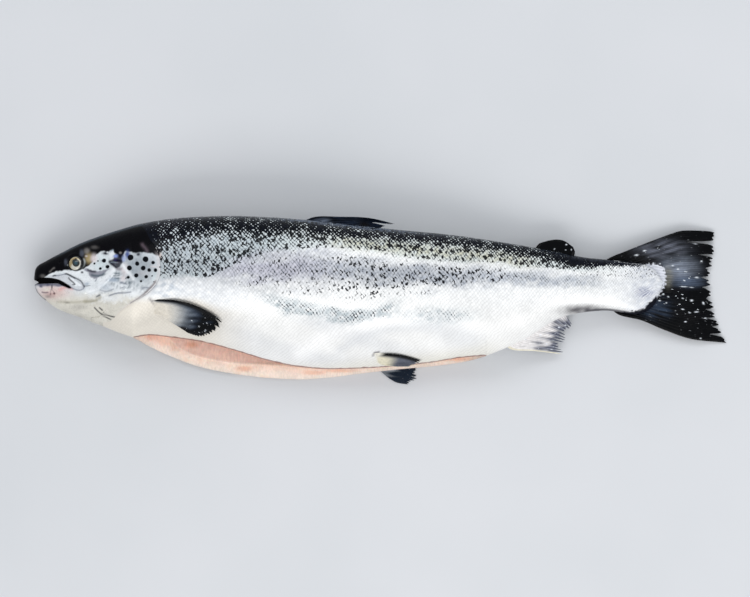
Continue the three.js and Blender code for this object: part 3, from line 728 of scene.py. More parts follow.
# Strokes: colour, points along them, half width, strength.
STROKES = [
    (SNOW, [[82.4, 21.5], [77, 15.3], [70, 8.6]], 2.6, 0.95),
    (SNOW, [[93, 25.6], [95.5, 21.5], [99.4, 17], [103.4, 11.5]], 1.9, 0.85),
    (INK_BLUE, [[56.2, 21], [60, 19.4], [63.4, 19.2]], 1.2, 0.85),
    (TEAL_GREY, [[60, 15.6], [65, 14.7], [70, 15.4], [73, 16.8]], 1.3, 0.9),
    (SLATE, [[65.2, 12], [63.9, 9.4]], 0.7, 0.75),
    (TEAL_GREY, [[99.4, 5], [98.4, 3.2], [96.5, 1.7]], 0.6, 0.7),
    (SLATE, [[89.6, 8], [92.6, 7.3], [96.4, 6.2]], 0.8, 0.85),
    (SLATE, [[90.2, 1.9], [92.3, 2.7], [94.2, 3.3]], 0.6, 0.65),
    (SLATE, [[78.5, -5.8], [86, -3.3], [94.4, -2.9], [100.8, -2]], 0.8, 0.75),
    (SLATE, [[69, 0.1], [75.3, -1.5], [82.8, 1.1]], 0.8, 0.5),
    (SLATE, [[112.4, 1.9], [115.6, 2.5], [119.6, 2.2]], 0.9, 0.75),
    (SLATE, [[111, 0.4], [115, 0.8], [119, 0.2]], 0.6, 0.35),
    (INK_BLUE, [[78.4, 29.6], [80.4, 27.4], [83.2, 25.4], [85.2, 23.6]], 1.2, 0.95),
    (MIST_BLUE, [[80, 28.8], [83, 29], [87, 28.4]], 0.45, 0.6),
    (MIST_BLUE, [[79.4, 39.8], [82, 41.6]], 0.8, 0.6),
    # Painted shadow in the gap under the gill cover's free rear edge, in two strokes:
    (INK_BLUE, [[126.6, 9.1], [122.9, 4.2], [119.3, 0.5], [114.5, -4]], 1.1, 1.0),
    (DARK_SLATE, [[114.5, -4], [107.6, -9.1], [100.8, -13.5]], 0.9, 0.9),
    (CREASE_OLIVE, [[26, -12.4], [40, -12.8], [54, -11.8]], 1.5, 0.3),
    (CREASE_OLIVE, [[53, -11.8], [61, -11.6], [66, -9.8], [69, -7]], 1.7, 0.55),
    (DARK_SLATE, [[65, -6.9], [66.8, -6.1], [68.6, -5.1]], 0.9, 0.8),
    (MAUVE, [[112.5, 47.4], [115.5, 44], [117.6, 40.4]], 1.8, 0.55),
    (STONE, [[16.6, 19], [18.6, 21.4], [21, 23]], 0.9, 0.45),
    (GUM_PINK, [[27, 0.6], [31, 2.4], [35, 3], [39.6, 1.4]], 1.7, 0.75),
    (MAUVE, [[18, 0.6], [17.2, -2], [16.9, -5]], 0.7, 0.45),
    (MAUVE, [[18.8, 0.6], [20.2, -1.6], [20.9, -3.6]], 0.6, 0.5),
    (MAUVE, [[8.4, -2.2], [11, -2.7], [14.4, -2.6]], 0.75, 0.85),
    (JAW_GREY, [[0.6, 6.6], [7, 6], [14, 6.3], [25, 5.8], [31, 4.4], [37, 1.9]], 0.9, 0.75),
    (DARK_SLATE, [[0.2, 6], [1, 2], [3.6, -3], [7.2, -7.1], [11.4, -10.4]], 1.2, 0.85),
    (CREASE_GREY, [[51.6, 31.6], [52.1, 29], [51.4, 26], [48.6, 22.6]], 1.3, 0.8),
]
# Lines drawn last, over the jaw bones: colour, points, half width, strength.
FINE_LINES = [
    (INK_BLUE, [[32.6, 16.6], [34.4, 16.7], [38, 15], [42.3, 12.6]], 0.85, 1.0),
    (INK_BLUE, [[42.3, 12.6], [46.4, 10.8], [49.6, 8.2], [52.2, 3.6]], 0.6, 0.9),
    (SLATE, [[52.2, 3.6], [50.6, 1.2], [46.6, -0.2], [41, 1.4], [36, 5.2]], 0.7, 0.75),
    (SLATE, [[23, 15], [28, 15.6], [32.6, 16.6]], 0.5, 0.75),
    (INK_BLUE, [[36, 12.6], [38.6, 10], [41, 7.6], [42.6, 6]], 0.75, 1.0),
    (INK_BLUE, [[42.6, 6], [41.4, 5.4], [40, 5.8]], 0.55, 0.9),
    (DARK_SLATE, [[52.2, 4.4], [55, 4], [58.4, 4.6]], 0.5, 0.6),
    (INK_BLUE, [[20, 14.6], [21.2, 15.1], [22.4, 15]], 0.8, 0.95),
    (TEAL_GREY, [[83.4, 17.6], [86, 17], [88.8, 17.4]], 0.6, 0.85),
    (TEAL_GREY, [[82.8, 15], [86, 14.8], [88.8, 15.4]], 0.6, 0.75),
]
COVER_SPOTS = [
    [72.9, 30.8, 2.2], [76.4, 24.2, 1.7], [69, 22.3, 1.4], [100.3, 33.8, 3.0], [107.4, 27.3, 2.3],
    [116.1, 32.3, 2.9], [123.9, 28.5, 2.0], [99.5, 23.0, 2.6], [113.5, 22.9, 2.4], [119.7, 20.8, 1.9],
    [126.5, 20.9, 1.7], [106.4, 15.1, 2.0], [116.6, 14, 1.8], [111.3, 9, 1.5], [97.9, 13.2, 1.4],
    [95.4, 12.3, 0.8], [122.8, 14.8, 0.9], [124.7, 8.7, 0.7], [130.8, 23.9, 1.1], [62.9, 27.6, 0.9],
    [66.6, 30.3, 0.6],
]


def patch(x, y, centre, reach):
    """1 in the middle of an oval patch, falling softly to 0 at about its rim."""
    return np.exp(-((((x - centre[0]) / reach[0]) ** 2 + ((y - centre[1]) / reach[1]) ** 2) ** 1.5))


def lay(tone, share, over):
    """tone mixed with over, point by point, by a share that is kept between 0 and 1."""
    return mix(tone, over, np.clip(share, 0, 1)[..., None])


def painted(ground, layers, shape):
    """A ground colour with layers of (share, colour) laid over it in turn."""
    tone = np.broadcast_to(ground, (*shape, 3))
    for share, over in layers:
        tone = lay(tone, share, over)
    return tone


WAVES = 9


def soft_noise(x, y, size, seed):
    """Smooth random waves between about -1 and 1: a sum of sines in random directions."""
    draw = np.random.default_rng(seed)
    total = 0
    for _ in range(WAVES):
        angle, phase = draw.uniform(0, 2 * np.pi, 2)
        pitch = size * draw.uniform(0.6, 1.7)
        total = total + np.sin(2 * np.pi * (x * np.cos(angle) + y * np.sin(angle)) / pitch + phase)
    return total / 4


def head_colours(x, y):
    """Layers of colour, each laid over the ones before it: a silver ground, slate fills, the
    black brow, ovals and strokes (a few are painted highlights, and two draw the painted shadow
    under the gill cover's edge), the jaw bones, fine lines, gill rays, eye socket and the
    mouth's painted shade. Random waves make the borders uneven."""
    wobble = soft_noise(x, y, 9, 3)
    ripple = soft_noise(x, y, 4, 4)
    streaks = soft_noise(0.5 * x + y, x - 0.3 * y, 5, 14)
    flecks = step(-0.2, 0.9, soft_noise(x - 0.4 * y, 0.8 * y, 4.4, 15))
    cheek = outline_gap(x, y, SLATE_CHEEK) + 0.5 * ripple
    hollow = outline_gap(x, y, DARK_HOLLOW) + 0.7 * ripple
    brow = step(-0.9, 0.9, y + 0.3 * wobble + 0.4 * ripple - BROW_EDGE(x))
    crown = brow * step(3.2, 0.6, back(x) - y) * step(16, 34, x)
    pale_streaks = step(0.3, 1.1, streaks) * step(50, 64, x) * step(-22, -8, y) * step(12, 2, y)
    grey_streaks = step(-0.4, -1.1, streaks) * step(56, 70, x) * step(-20, -8, y) * step(12, 2, y)
    under_edge = step(6, 1, y - belly(x)) * step(24, 40, x) * step(84, 62, x)
    layers = [(step(2, -12, y + wobble), THROAT_CREAM)]
    for over, centre, reach, strength in GROUND_PATCHES:
        layers.append((strength * patch(x, y, centre, reach), over))
    layers += [
        (0.85 * step(0.8, -0.7, cheek), SLATE_FILL),
        (0.92 * step(1.0, -1.0, hollow), HOLLOW_INK),
        (0.25 * step(0.3, 1.0, ripple) * step(64, 72, x) * step(-8, 2, y), SLATE),
        (0.6 * pale_streaks, SNOW),
        (0.3 * grey_streaks, SLATE),
        (0.55 * flecks * patch(x, y, [88, 12], [15, 10]), TEAL_GREY),
        (0.35 * flecks * patch(x, y, [108, 4], [13, 9]), TEAL_GREY),
        (brow, SNOUT_BLACK),
        (0.6 * crown, CROWN_SHEEN),
    ]
    for over, centre, reach, strength in PATCHES:
        oval = patch(x + 0.3 * ripple, y + 0.3 * wobble, centre, reach)
        layers.append((strength * oval, over))
    for over, points, width, strength in STROKES:
        layers.append((strength * soft_line(x + 0.3 * ripple, y, points, width), over))
    layers += [
        (0.4 * under_edge * (0.8 + 0.3 * wobble), THROAT_SHADE),
        (0.92 * step(0.6, -0.8, outline_gap(x, y, JAW_BONE)), JAW_SILVER),
        # The small jaw bone in white: its own silver, with a painted highlight over it.
        (0.95 * step(0.6, -1.2, outline_gap(x, y, SMALL_BONE)), SNOW),
    ]
    for over, points, width, strength in FINE_LINES:
        line = soft_line(x + 0.15 * ripple, y + 0.15 * wobble, points, width)
        layers.append((strength * line, over))
    layers += [(0.95 * soft_line(x, y, ray, 0.75), RAY_INK) for ray in GILL_RAYS]
    layers += [
        (0.9 * step(9.0, 8.0, np.hypot(x - EYE[0], y - EYE[1])), SOCKET_BLACK),
        # The mouth's gap is painted dark as shade, over the thin wall that closes it in the middle.
        (step(0.5, -0.3, outline_gap(x, y, MOUTH_GAP)), MOUTH_SHADE),
    ]
    return painted(CHEEK_SILVER, layers, x.shape)


def spot_gap(x, y):
    """Millimetres to the rim of the nearest spot of the gill cover: negative inside it."""
    return np.min([np.hypot(x - sx, y - sy) - size for sx, sy, size in COVER_SPOTS], axis=0)


marks = len(GROUND_PATCHES) + len(PATCHES) + len(STROKES) + len(FINE_LINES)
print("the head has", marks, "painted marks and", len(COVER_SPOTS), "round spots")

# %% The head's grid
HEAD_COLUMNS, HEAD_ROWS = 384, 214
CURL_STEPS = 7
TUCKS = (0.8, 2.0, 4.0)


def head_points():
    """Column angle a gives the share (1 - cos a)/2 of the way from keel to spine, on the left
    flank for a under half a turn; row t gives x = t^1.25 times the rear edge's x there."""
    angle = np.linspace(0, 2 * np.pi, HEAD_COLUMNS, endpoint=False)
    # The cosine packs columns at the keel and the spine; half of it is given back to the flank.
    share = mix((1 - np.cos(angle)) / 2, 1 - np.abs(angle / np.pi - 1), 0.55)
    side = np.where(angle < np.pi, 1.0, -1.0)
    along = np.linspace(0, 1, HEAD_ROWS) ** 1.25
    x = along[:, None] * head_edge(share)[None, :]
    y = mix(belly(x), back(x), share)
    # The jaws stand a little open at the tip.
    x = x + MOUTH_NOTCH * bell(y - 8.0, 1.6) * step(9, 0, x)
    side = np.broadcast_to(side, x.shape)
    z = skin(x, y, side)
    off_middle = step(0.0, 4.0, np.abs(z - middle(x)))
    z = z + side * bone_relief(x, y) * off_middle
    depth = MOUTH_DEPTH * step(0.35, -0.45, outline_gap(x, y, MOUTH_GAP))
    z = mix(z, middle(x), depth)
    z = np.where(side < 0, np.maximum(z, 0.4), z)
    outer = np.stack([x, y, z], -1)
    edge = outer[-1]
    edge_x = edge[:, 0]
    centre = np.stack([edge_x, (belly(edge_x) + back(edge_x)) / 2, middle(edge_x)], -1)
    inward = centre - edge
    inward /= np.linalg.norm(inward, axis=-1, keepdims=True)
    lip_radius = (0.12 + 0.75 * step(0.05, 0.25, share) * step(0.86, 0.7, share))[:, None]
    rearward = np.array([1.0, 0, 0])
    curl = [
        edge + lip_radius * (np.sin(t) * rearward + (1 - np.cos(t)) * inward)
        for t in np.linspace(0, np.pi, CURL_STEPS)[1:]
    ]
    tucked = [curl[-1] + inward * k - rearward * 3 * k for k in TUCKS]
    pole = np.broadcast_to([86.0, 8.0, middle(86.0)], edge.shape)
    tip = np.broadcast_to(outer[0].mean(0), edge.shape)
    return np.concatenate([[tip], outer, curl, tucked, [pole]])


head_grid = head_points()
hx, hy = head_grid[..., 0], head_grid[..., 1]
# The marks were placed as they look from straight above, which shows what is high on the flank
# a little nearer the snout, so they are painted where that view falls on the skin.
VIEW_MIDDLE, LOOK_FROM = np.array([354.6, -8.8]), 14000.0
nearer = 1 + (head_grid[..., 2] - 25) / LOOK_FROM
mark_x, mark_y = (VIEW_MIDDLE[k] + (head_grid[..., k] - VIEW_MIDDLE[k]) * nearer for k in (0, 1))
head_tone = head_colours(mark_x, mark_y)
rim_rows = step(-3, 0, np.arange(len(hx))[:, None] - (HEAD_ROWS - 2))
rim_light = rim_rows * step(0.1, 0.3, section_share(hx, hy)) * step(42, 34, hy)
head_tone = lay(head_tone, 0.4 * rim_light, COVER_RIM)
silver = step(0.12, 0.5, head_tone.mean(-1))
make_piece(
    "head", head_grid, smooth_head_skin, ["body"], "skin",
    tone=head_tone, spot=spot_gap(mark_x, mark_y), shine=0.12 * silver,
)

# %% [markdown]
# ## The trunk's colours
# Seen from the side, a salmon is dark along the back, dappled with black blots below that, then
# bright silver, then white. The borders between these bands are curves down the length. A
# bluish-grey band runs along the middle, where fewer scales catch the light.

# %% Bands of the trunk, as heights in millimetres down the length
dark_edge = through([
    [104, 38], [118, 42], [128, 45], [145, 53], [179, 60], [249, 62], [317, 56], [356, 52.5],
    [411, 49], [467, 43], [522, 33.5], [547, 27.5], [583, 24.2], [607, 24.0], [618, 24.6],
    [630, 25.6], [654, 30],
])
spot_edge = through([
    [131, 14], [173, 14], [214, 28], [277, 43], [318, 43.5], [381, 36], [412, 31], [467, 29], [522, 23],
    [560, 21], [610, 19], [654, 24],
])
low_spot_edge = through([
    [173, 15], [225, 2], [277, -4], [329, -9], [381, -4], [433, 5], [485, 8], [537, 14], [640, 17],
])
grey_middle = through([
    [170, 16], [188, 18.7], [235, 22.9], [277, 22.9], [329, 20.8], [381, 16], [433, 14.6], [485, 13.5],
    [547, 10], [589, 8], [654, 4],
])
grey_half = through([[170, 4], [200, 9], [277, 13.5], [400, 11.5], [460, 10], [547, 7], [654, 8]])
low_grey_middle = through([[225, 0], [250, -12], [290, -22], [330, -27], [360, -23], [388, -11]])
WHITE_FLANK = colour(251, 252, 252)
DAPPLE_WHITE = colour(210, 218, 218)
DAPPLE_GREY = colour(176, 188, 194)
GREY_BAND = colour(184, 190, 200)
LAVENDER = colour(196, 193, 208)
GREEN_GREY = colour(166, 178, 184)
BELLY_WHITE = colour(244, 244, 243)
BELLY_CREAM = colour(230, 227, 216)
BREAST_CREAM = colour(223, 217, 206)
OLIVE_TINT = colour(200, 198, 172)
STALK_GREY = colour(210, 214, 222)
VEIL_GREY = colour(222, 224, 227)
SHOULDER_VEIL = colour(204, 208, 214)
LINK_GREY = colour(196, 199, 207)
FOLD_HIGHLIGHT = colour(252, 252, 252)
VENT_GREY = colour(70, 66, 74)
KEEL_GREY = colour(52, 52, 62)
STALK_BLUE = colour(96, 102, 142)
GILL_RIM_PINK = colour(226, 206, 196)
COVER_SHADE = colour(36, 38, 52)
HOOK_MAUVE = colour(66, 58, 70)
UNDER_TAIL = colour(16, 18, 28)
STALK_EDGE = [
    [560, 44], [606, 30], [619, 27.6], [638.6, 27.0], [651, 26.2], [656.4, 20.8], [657, 10.4],
    [655, 2], [648.6, -7.3], [640.6, -10.6], [637, -17], [631, -20.6], [618, -22.6], [600, -28],
    [560, -44],
]
# Soft lines along the belly's folds, a painted highlight and a grey line beside it: colour,
# # points along them, half width, strength.
BELLY_FOLDS = [
    (FOLD_HIGHLIGHT, [[275, -66], [310, -46], [345, -34], [410, -29]], 8, 0.8),
    (VEIL_GREY, [[318, -62], [345, -48], [375, -40], [420, -38]], 5, 0.6),
]
# Small dark creases at the roots of the breast fin and the belly fin.
ROOT_HOOKS = [
    (HOOK_MAUVE, [[121, -9], [122.6, -11], [125, -14]], 1.3, 0.6),
    (HOOK_MAUVE, [[352.6, -68.4], [354, -65.4], [359, -64.2]], 0.9, 0.9),
]
DASH_PITCH = 3.1


def beyond_stalk(x, y):
    """0 on the white, scaled end of the trunk and 1 on the tail fin, with a ragged border."""
    ragged = 1.3 * soft_noise(x, y, 5, 70) + 0.7 * soft_noise(x, y, 2.3, 71)
    return step(-0.6, 0.9, outline_gap(x, y, STALK_EDGE) + ragged) * step(600, 612, x)


def trunk_bands(x, y, z):
    """Shares from 0 to 1 for the bands and zones that both the colours and the scales read. A
    band is a bell over its middle line; two random waves make the borders uneven."""
    wave = soft_noise(x * 0.45, y, 16, 5)
    fine = soft_noise(x * 0.6, y, 6, 8)
    off_band = (y + 3.6 * wave + fine - grey_middle(x)) / grey_half(x)
    band = np.exp(-((off_band**2) ** 1.2)) * step(165, 225, x) * step(640, 540, x)
    off_low = y + 3.4 * wave + fine - low_grey_middle(x)
    low_grey = bell(off_low, 7.6) * step(222, 262, x) * step(392, 360, x)
    return dict(
        wave=wave, fine=fine, band=band,
        low_grey=low_grey + 0.7 * patch(x, y, [420, -26], [42, 9]),
        dense=step(-4, 4, y + 2 * wave - spot_edge(x)) * step(640, 560, x),
        off_gap=y - mix(spot_edge(x), grey_middle(x) + grey_half(x), 0.5),
        behind_head=x - head_edge(section_share(x, y)),
        shown=step(-7, 1, z - middle(x)),
        beyond=beyond_stalk(x, y),
    )


print("the grey band is", round(2 * float(grey_half(280.0)), 1), "mm high at its broadest")

# %% The trunk's layers of colour


def trunk_tone(x, y, wave, fine, band, low_grey, dense, off_gap, behind_head, shown, beyond):
    """Layers of colour, each laid over the ones before it: white flank and cream belly, veils
    and the belly's folds with their painted highlights, the dappled, grey and greenish bands,
    the stalk, and small marks, among them painted shade on the keel and painted shadow behind
    the gill cover."""
    above_lip = y - np.minimum(belly(x), lip(x))
    veil = soft_noise(0.5 * x + y, 0.6 * y, 34, 12)
    cream_top = mix(-4.0, -14.0, step(165, 200, x))
    link = bell(off_gap + wave, 6) * step(215, 240, x) * step(345, 300, x)
    under_back = bell(y - mix(dark_edge(x), spot_edge(x), 0.5), 7)
    vent = patch(x, y, [571, -21], [23, 6.0]) * (0.8 + 0.16 * fine) * shown
    keel = step(3.4, 1.2, y - belly(x)) * step(566, 584, x) * step(640, 626, x)
    dashes = np.sin(2 * np.pi * (x - 1.4 * y) / DASH_PITCH + 3 * fine)
    gill_rim = bell(behind_head - 1.5, 2.2) * step(48, 40, y) * step(30, 36, y)
    cover_shade = bell(behind_head, 1.1) * step(-14, -4, y) * step(14, 6, y)
    veiled = np.clip(0.2 + 0.4 * veil, 0, 0.75) * step(-8, -30, y) * step(520, 440, x)
    speckled = np.clip(0.1 + 0.5 * fine, 0, 0.5)
    grey_dapples = dense * step(300, 220, x) * step(68, 50, y) * (0.8 + 0.3 * fine)
    olive = under_back * step(290, 330, x) * step(540, 500, x) * (1 + 0.6 * fine)
    folds, hooks = (
        [(strength * soft_line(x, y, points, width), over) for over, points, width, strength in lines]
        for lines in (BELLY_FOLDS, ROOT_HOOKS)
    )
    return painted(WHITE_FLANK, [
        (step(0, -30, y), BELLY_WHITE),
        (0.85 * patch(x, y, [165, 3], [66, 22]) * (0.75 + 0.3 * fine), SHOULDER_VEIL),
        (0.45 * step(330, 270, x) * step(-14, 0, y) * (0.6 + 0.5 * fine), VEIL_GREY),
        (veiled, VEIL_GREY),
        (patch(x, y, [139, 2], [15, 13]) * speckled, MIST_BLUE),
        *folds,
        (0.9 * step(22, 2, above_lip) * step(520, 440, x), BELLY_CREAM),
        (0.95 * step(235, 165, x) * step(0, -12, y - cream_top), BREAST_CREAM),
        (0.9 * dense, DAPPLE_WHITE),
        (0.8 * grey_dapples, DAPPLE_GREY),
        (band * (0.8 + 0.2 * fine), GREY_BAND),
        (0.6 * band * step(340, 260, x), LAVENDER),
        (0.22 * band * step(310, 350, x) * step(470, 430, x), SLATE),
        (link * (0.55 + 0.4 * fine), LINK_GREY),
        (low_grey * (0.62 + 0.3 * fine), GREEN_GREY),
        (0.5 * olive, OLIVE_TINT),
        (0.35 * step(235, 150, x) * step(6, 20, y), GREY_BAND),
        (step(596, 640, x) * (0.75 + 0.3 * fine), STALK_GREY),
        (vent, VENT_GREY),
        # The keel's dark skin along the stalk, with painted shade beneath it.
        (0.85 * keel * shown, KEEL_GREY),
        (patch(x, y, [635, -2.6], [10, 6]) * (0.4 + 0.45 * dashes), STALK_BLUE),
        (0.8 * gill_rim, GILL_RIM_PINK),
        (0.9 * cover_shade, COVER_SHADE),
        *hooks,
        (beyond, UNDER_TAIL),
    ], x.shape)


print(len(BELLY_FOLDS), "folds of the belly and", len(ROOT_HOOKS), "creases at the fins' roots")

# %% How dark, spotted and plain the trunk is


def trunk_marks(x, y, wave, fine, band, low_grey, dense, off_gap, behind_head, shown, beyond):
    """Darkness of the back, density of black blots, painted sheen of the ridge, and share of plain
    white skin. Each is the largest of its bands, faded out on the tail fin."""
    on_ridge = step(5.0, 1.0, back(x) - y)
    # rim is a painted sheen along the ridge of the back, strongest beside the back fin.
    rim = on_ridge * mix(0.12, 0.9, step(235, 290, x) * step(420, 350, x)) * shown
    off_back = y + 1.2 * wave + 1.2 * fine - dark_edge(x)
    dark = step(-5, 4, off_back) * (1 + 0.3 * rim + 0.3 * step(525, 575, x))
    dark = dark + 0.2 * step(16, 0, behind_head) * step(44, 54, y)
    near_back = step(-15, -1, y + 2 * wave - dark_edge(x))
    light_dark = mix(0.30, 0.42, step(300, 250, x))
    dapples = dense * mix(light_dark, light_dark + 0.26, near_back)
    half_dark = np.maximum.reduce([dapples, 0.32 * band, 0.42 * low_grey])
    dark = np.maximum(dark, half_dark * (1 - 0.25 * fine))
    sparse = step(-6, 6, y + 3 * wave - low_spot_edge(x)) * step(170, 230, x) * step(600, 470, x)
    gap = bell(off_gap, 4.5) * step(225, 300, x)
    amount = mix(0.42, 0.64, step(300, 350, x)) + 0.1 * wave
    stalk_spots = 0.42 * step(520, 590, x) * step(6, 16, y)
    spots = np.maximum.reduce([0.92 * dense, amount * sparse * (1 - 0.6 * gap), stalk_spots])
    plain = 1 - np.clip(np.maximum.reduce([dense, band, low_grey]), 0, 1)
    on_trunk = 1 - beyond
    return dark * on_trunk, np.clip(spots, 0, 1) * on_trunk, rim * on_trunk, plain


print("the back is dark from", float(dark_edge(249.0)), "to", round(float(back(249.0)), 1), "mm")

# %% [markdown]
# ## The slit in the belly
# The knife left two lips with the empty belly between them. One path in each section follows
# the open flesh: from the lower lip over the cut face, along the floor of the belly, round its
# far end, back along the roof, and over the other cut face to the upper lip. The flesh is this
# path with a skin behind it. The trunk closes behind the flesh in the same way, a little
# further out, so that both are whole bodies that fit together.

# %% The path of the open flesh
face_width = through([
    [103, 2], [112, 13], [125, 18.5], [139, 18], [149, 13.5], [165, 11], [190, 11.2], [210, 11.8],
    [230, 14], [258, 15], [290, 13], [330, 9], [471, 9],
])
slit_gap = through([
    [107, 1], [125, 6], [160, 9], [230, 9], [280, 6.5], [320, 3], [360, 2], [440, 2], [467, 1],
])
cavity_depth = through([
    [103, 0], [107, 6], [130, 34], [170, 56], [230, 64], [300, 58], [380, 46], [440, 28], [467, 6],
    [471, 0],
])
cavity_height = through([
    [107, 1.5], [130, 18], [170, 31], [230, 36], [300, 30], [380, 20], [440, 11], [467, 1.5],
])
LIP_FADE = 12.0
# How far each cut face reaches in from its lip, (across, up), where the slit is shut and open.
SHUT_FACE = {"upper": (9.0, -1.0), "lower": (9.0, 2.5)}
OPEN_FACE = {"upper": (5.5, -6.5), "lower": (9.0, 7.5)}
# Points along floor and roof, the power that crowds them, and how often the path is smoothed.
INWARD_STEPS, CROWDING, SMOOTHINGS = 40, 0.9, 3


def respaced(path, count):
    """The same paths, [row, point, (y, z)], with count points at equal steps along each, and
    the whole length of each."""
    lengths = np.linalg.norm(np.diff(path, axis=1), axis=-1)
    run = np.concatenate([np.zeros((len(path), 1)), np.cumsum(lengths, axis=1)], axis=1)
    even = np.linspace(0, 1, count)
    rows = [
        np.stack([np.interp(even * r[-1], r, p[:, k]) for k in (0, 1)], -1) for r, p in zip(run, path)
    ]
    return np.array(rows), run[:, -1]


def open_flesh(x, count):
    """The path for each x: cut face, floor, roof, cut face. Floor and roof stand half the
    belly's height off a middle line that rises with it, and close as the square root of
    1 - s^3 towards the far end, s = 1."""
    _, upper, lower = corners(x)
    fade = np.clip(np.minimum((x - SLIT_START) / LIP_FADE, (SLIT_END - x) / LIP_FADE), 0, 1)
    gape = agape(x)

    def inner(lip_point, side, width=None):
        """(y, z) of a cut face's inner edge, from its lip."""
        shut, opened = SHUT_FACE[side], OPEN_FACE[side]
        across = mix(shut[0], opened[0], gape) if width is None else width
        return lip_point[0] + fade * across, lip_point[1] + fade * mix(shut[1], opened[1], gape)

    upper_in = inner(upper, "upper")
    lower_in = inner(lower, "lower", face_width(x))
    mouth_y, mouth_z = (upper_in[0] + lower_in[0]) / 2, (upper_in[1] + lower_in[1]) / 2
    far_y = (mouth_y + cavity_depth(x))[:, None]
    s = np.linspace(0, 1, INWARD_STEPS)[None, :] ** CROWDING
    narrow = fade[:, None] * slit_gap(x)[:, None]
    half = mix(narrow, fade[:, None] * cavity_height(x)[:, None], step(0, 0.5, s)) / 2
    rise = 0.95 * (half - narrow / 2)
    close = np.sqrt(1 - s**3)
    floor = np.stack([mix(lower_in[0][:, None], far_y, s), mouth_z[:, None] + rise - half * close], -1)
    roof = np.stack([mix(upper_in[0][:, None], far_y, s), mouth_z[:, None] + rise + half * close], -1)
    roof = roof[:, ::-1]
    ends = [np.stack(p, -1)[:, None, :] for p in (lower, lower_in, upper_in, upper)]
    whole = np.concatenate([ends[0], ends[1], floor, roof, ends[2], ends[3]], axis=1)
    path = respaced(whole, count)[0]
    for _ in range(SMOOTHINGS):
        path[:, 1:-1] = (path[:, :-2] + 2 * path[:, 1:-1] + path[:, 2:]) / 4
    return path


def behind(path, depth):
    """The same path moved into the flesh by up to depth, less near the two lips."""
    along = np.gradient(path, axis=1)
    into = np.stack([along[..., 1], -along[..., 0]], -1)
    into /= np.maximum(np.linalg.norm(into, axis=-1, keepdims=True), 1e-9)
    steps = np.linalg.norm(np.diff(path, axis=1), axis=-1)
    run = np.concatenate([np.zeros((len(path), 1)), np.cumsum(steps, axis=1)], axis=1)
    from_lip = np.minimum(run, run[:, -1:] - run)
    return path + into * np.minimum(depth, 0.35 * from_lip)[..., None]


print("the belly is", float(cavity_depth(230.0)), "mm deep behind the slit")

# %% The trunk's grid


def with_x(x, path):
    """[row, point, (x, y, z)] from [row, point, (y, z)] and the x of each row."""
    return np.concatenate([np.broadcast_to(x[:, None, None], (*path.shape[:2], 1)), path], -1)


TRUNK_START = 64.0
trunk_x = np.concatenate([
    np.linspace(TRUNK_START, SLIT_START, 30, endpoint=False), np.linspace(SLIT_START, SLIT_END, 236),
    np.linspace(SLIT_END + 1.6, 640, 104, endpoint=False), 654 - 14 * np.linspace(1, 0, 26) ** 2,
])
UPPER_COLUMNS, UNDER_COLUMNS, WALL_COLUMNS = 118, 82, 40
# Millimetres: the layer of flesh, the bed it lies in, and the trunk's dip under the head.
FLESH_LAYER, FLESH_BED, TUCK_DEPTH = 2.6, 3.0, 3.0


def flank_path(x, ends, surface, count):
    """One flank of each section, at equal steps from its first corner to its second."""
    turn = (1 - np.cos(np.linspace(0, np.pi, 260))) / 2
    y = mix(ends[0][0][:, None], ends[1][0][:, None], turn[None, :])
    z = surface(np.broadcast_to(x[:, None], y.shape), y)
    z[:, 0], z[:, -1] = ends[0][1], ends[1][1]
    return respaced(np.stack([y, z], -1), count)


spine, upper, lower = corners(trunk_x)
over, over_length = flank_path(trunk_x, (upper, spine), upper_skin, UPPER_COLUMNS)
# The flank's height is averaged down the fish where the slit begins, to ease the crease there.
near_tip = step(22, 12, np.abs(trunk_x - SLIT_START))[:, None]
near_tip = near_tip * step(0, 0.12, np.linspace(0, 1, UPPER_COLUMNS))
weight = bell(trunk_x[:, None] - trunk_x[None, :], 6.0) * np.gradient(trunk_x)[None, :]
eased = (weight / weight.sum(1, keepdims=True)) @ over[..., 1]
over[..., 1] = mix(over[..., 1], eased, near_tip)
under, under_length = flank_path(trunk_x, (spine, lower), under_skin, UNDER_COLUMNS)
wall = behind(open_flesh(trunk_x, WALL_COLUMNS), FLESH_BED)
outside = (trunk_x <= SLIT_START) | (trunk_x >= SLIT_END)
wall[outside] = np.stack(lower, -1)[outside][:, None, :]
loop = np.concatenate([over, under[:, 1:-1], wall], axis=1)
trunk_grid = with_x(trunk_x, loop)
tx, ty = trunk_grid[..., 0], trunk_grid[..., 1]
# Under the head the trunk shrinks inwards, out of sight, and comes up at the head's rear edge.
hidden = TUCK_DEPTH * step(0.5, 7, head_edge(section_share(tx, ty)) - tx)
heart = np.stack([tx, (belly(tx) + back(tx)) / 2, middle(tx)], -1)
inward = heart - trunk_grid
inward /= np.maximum(np.linalg.norm(inward, axis=-1, keepdims=True), 1e-6)
trunk_grid = trunk_grid + inward * hidden[..., None]
front_pole = np.broadcast_to([TRUNK_START, 10.0, middle(TRUNK_START)], trunk_grid[:1].shape)
rear_pole = np.broadcast_to([STALK_END, 7.0, middle(STALK_END)], trunk_grid[:1].shape)
trunk_grid = np.concatenate([front_pole, trunk_grid, rear_pole])
print("the trunk's grid has", trunk_grid.shape[0], "rows of", trunk_grid.shape[1], "points")

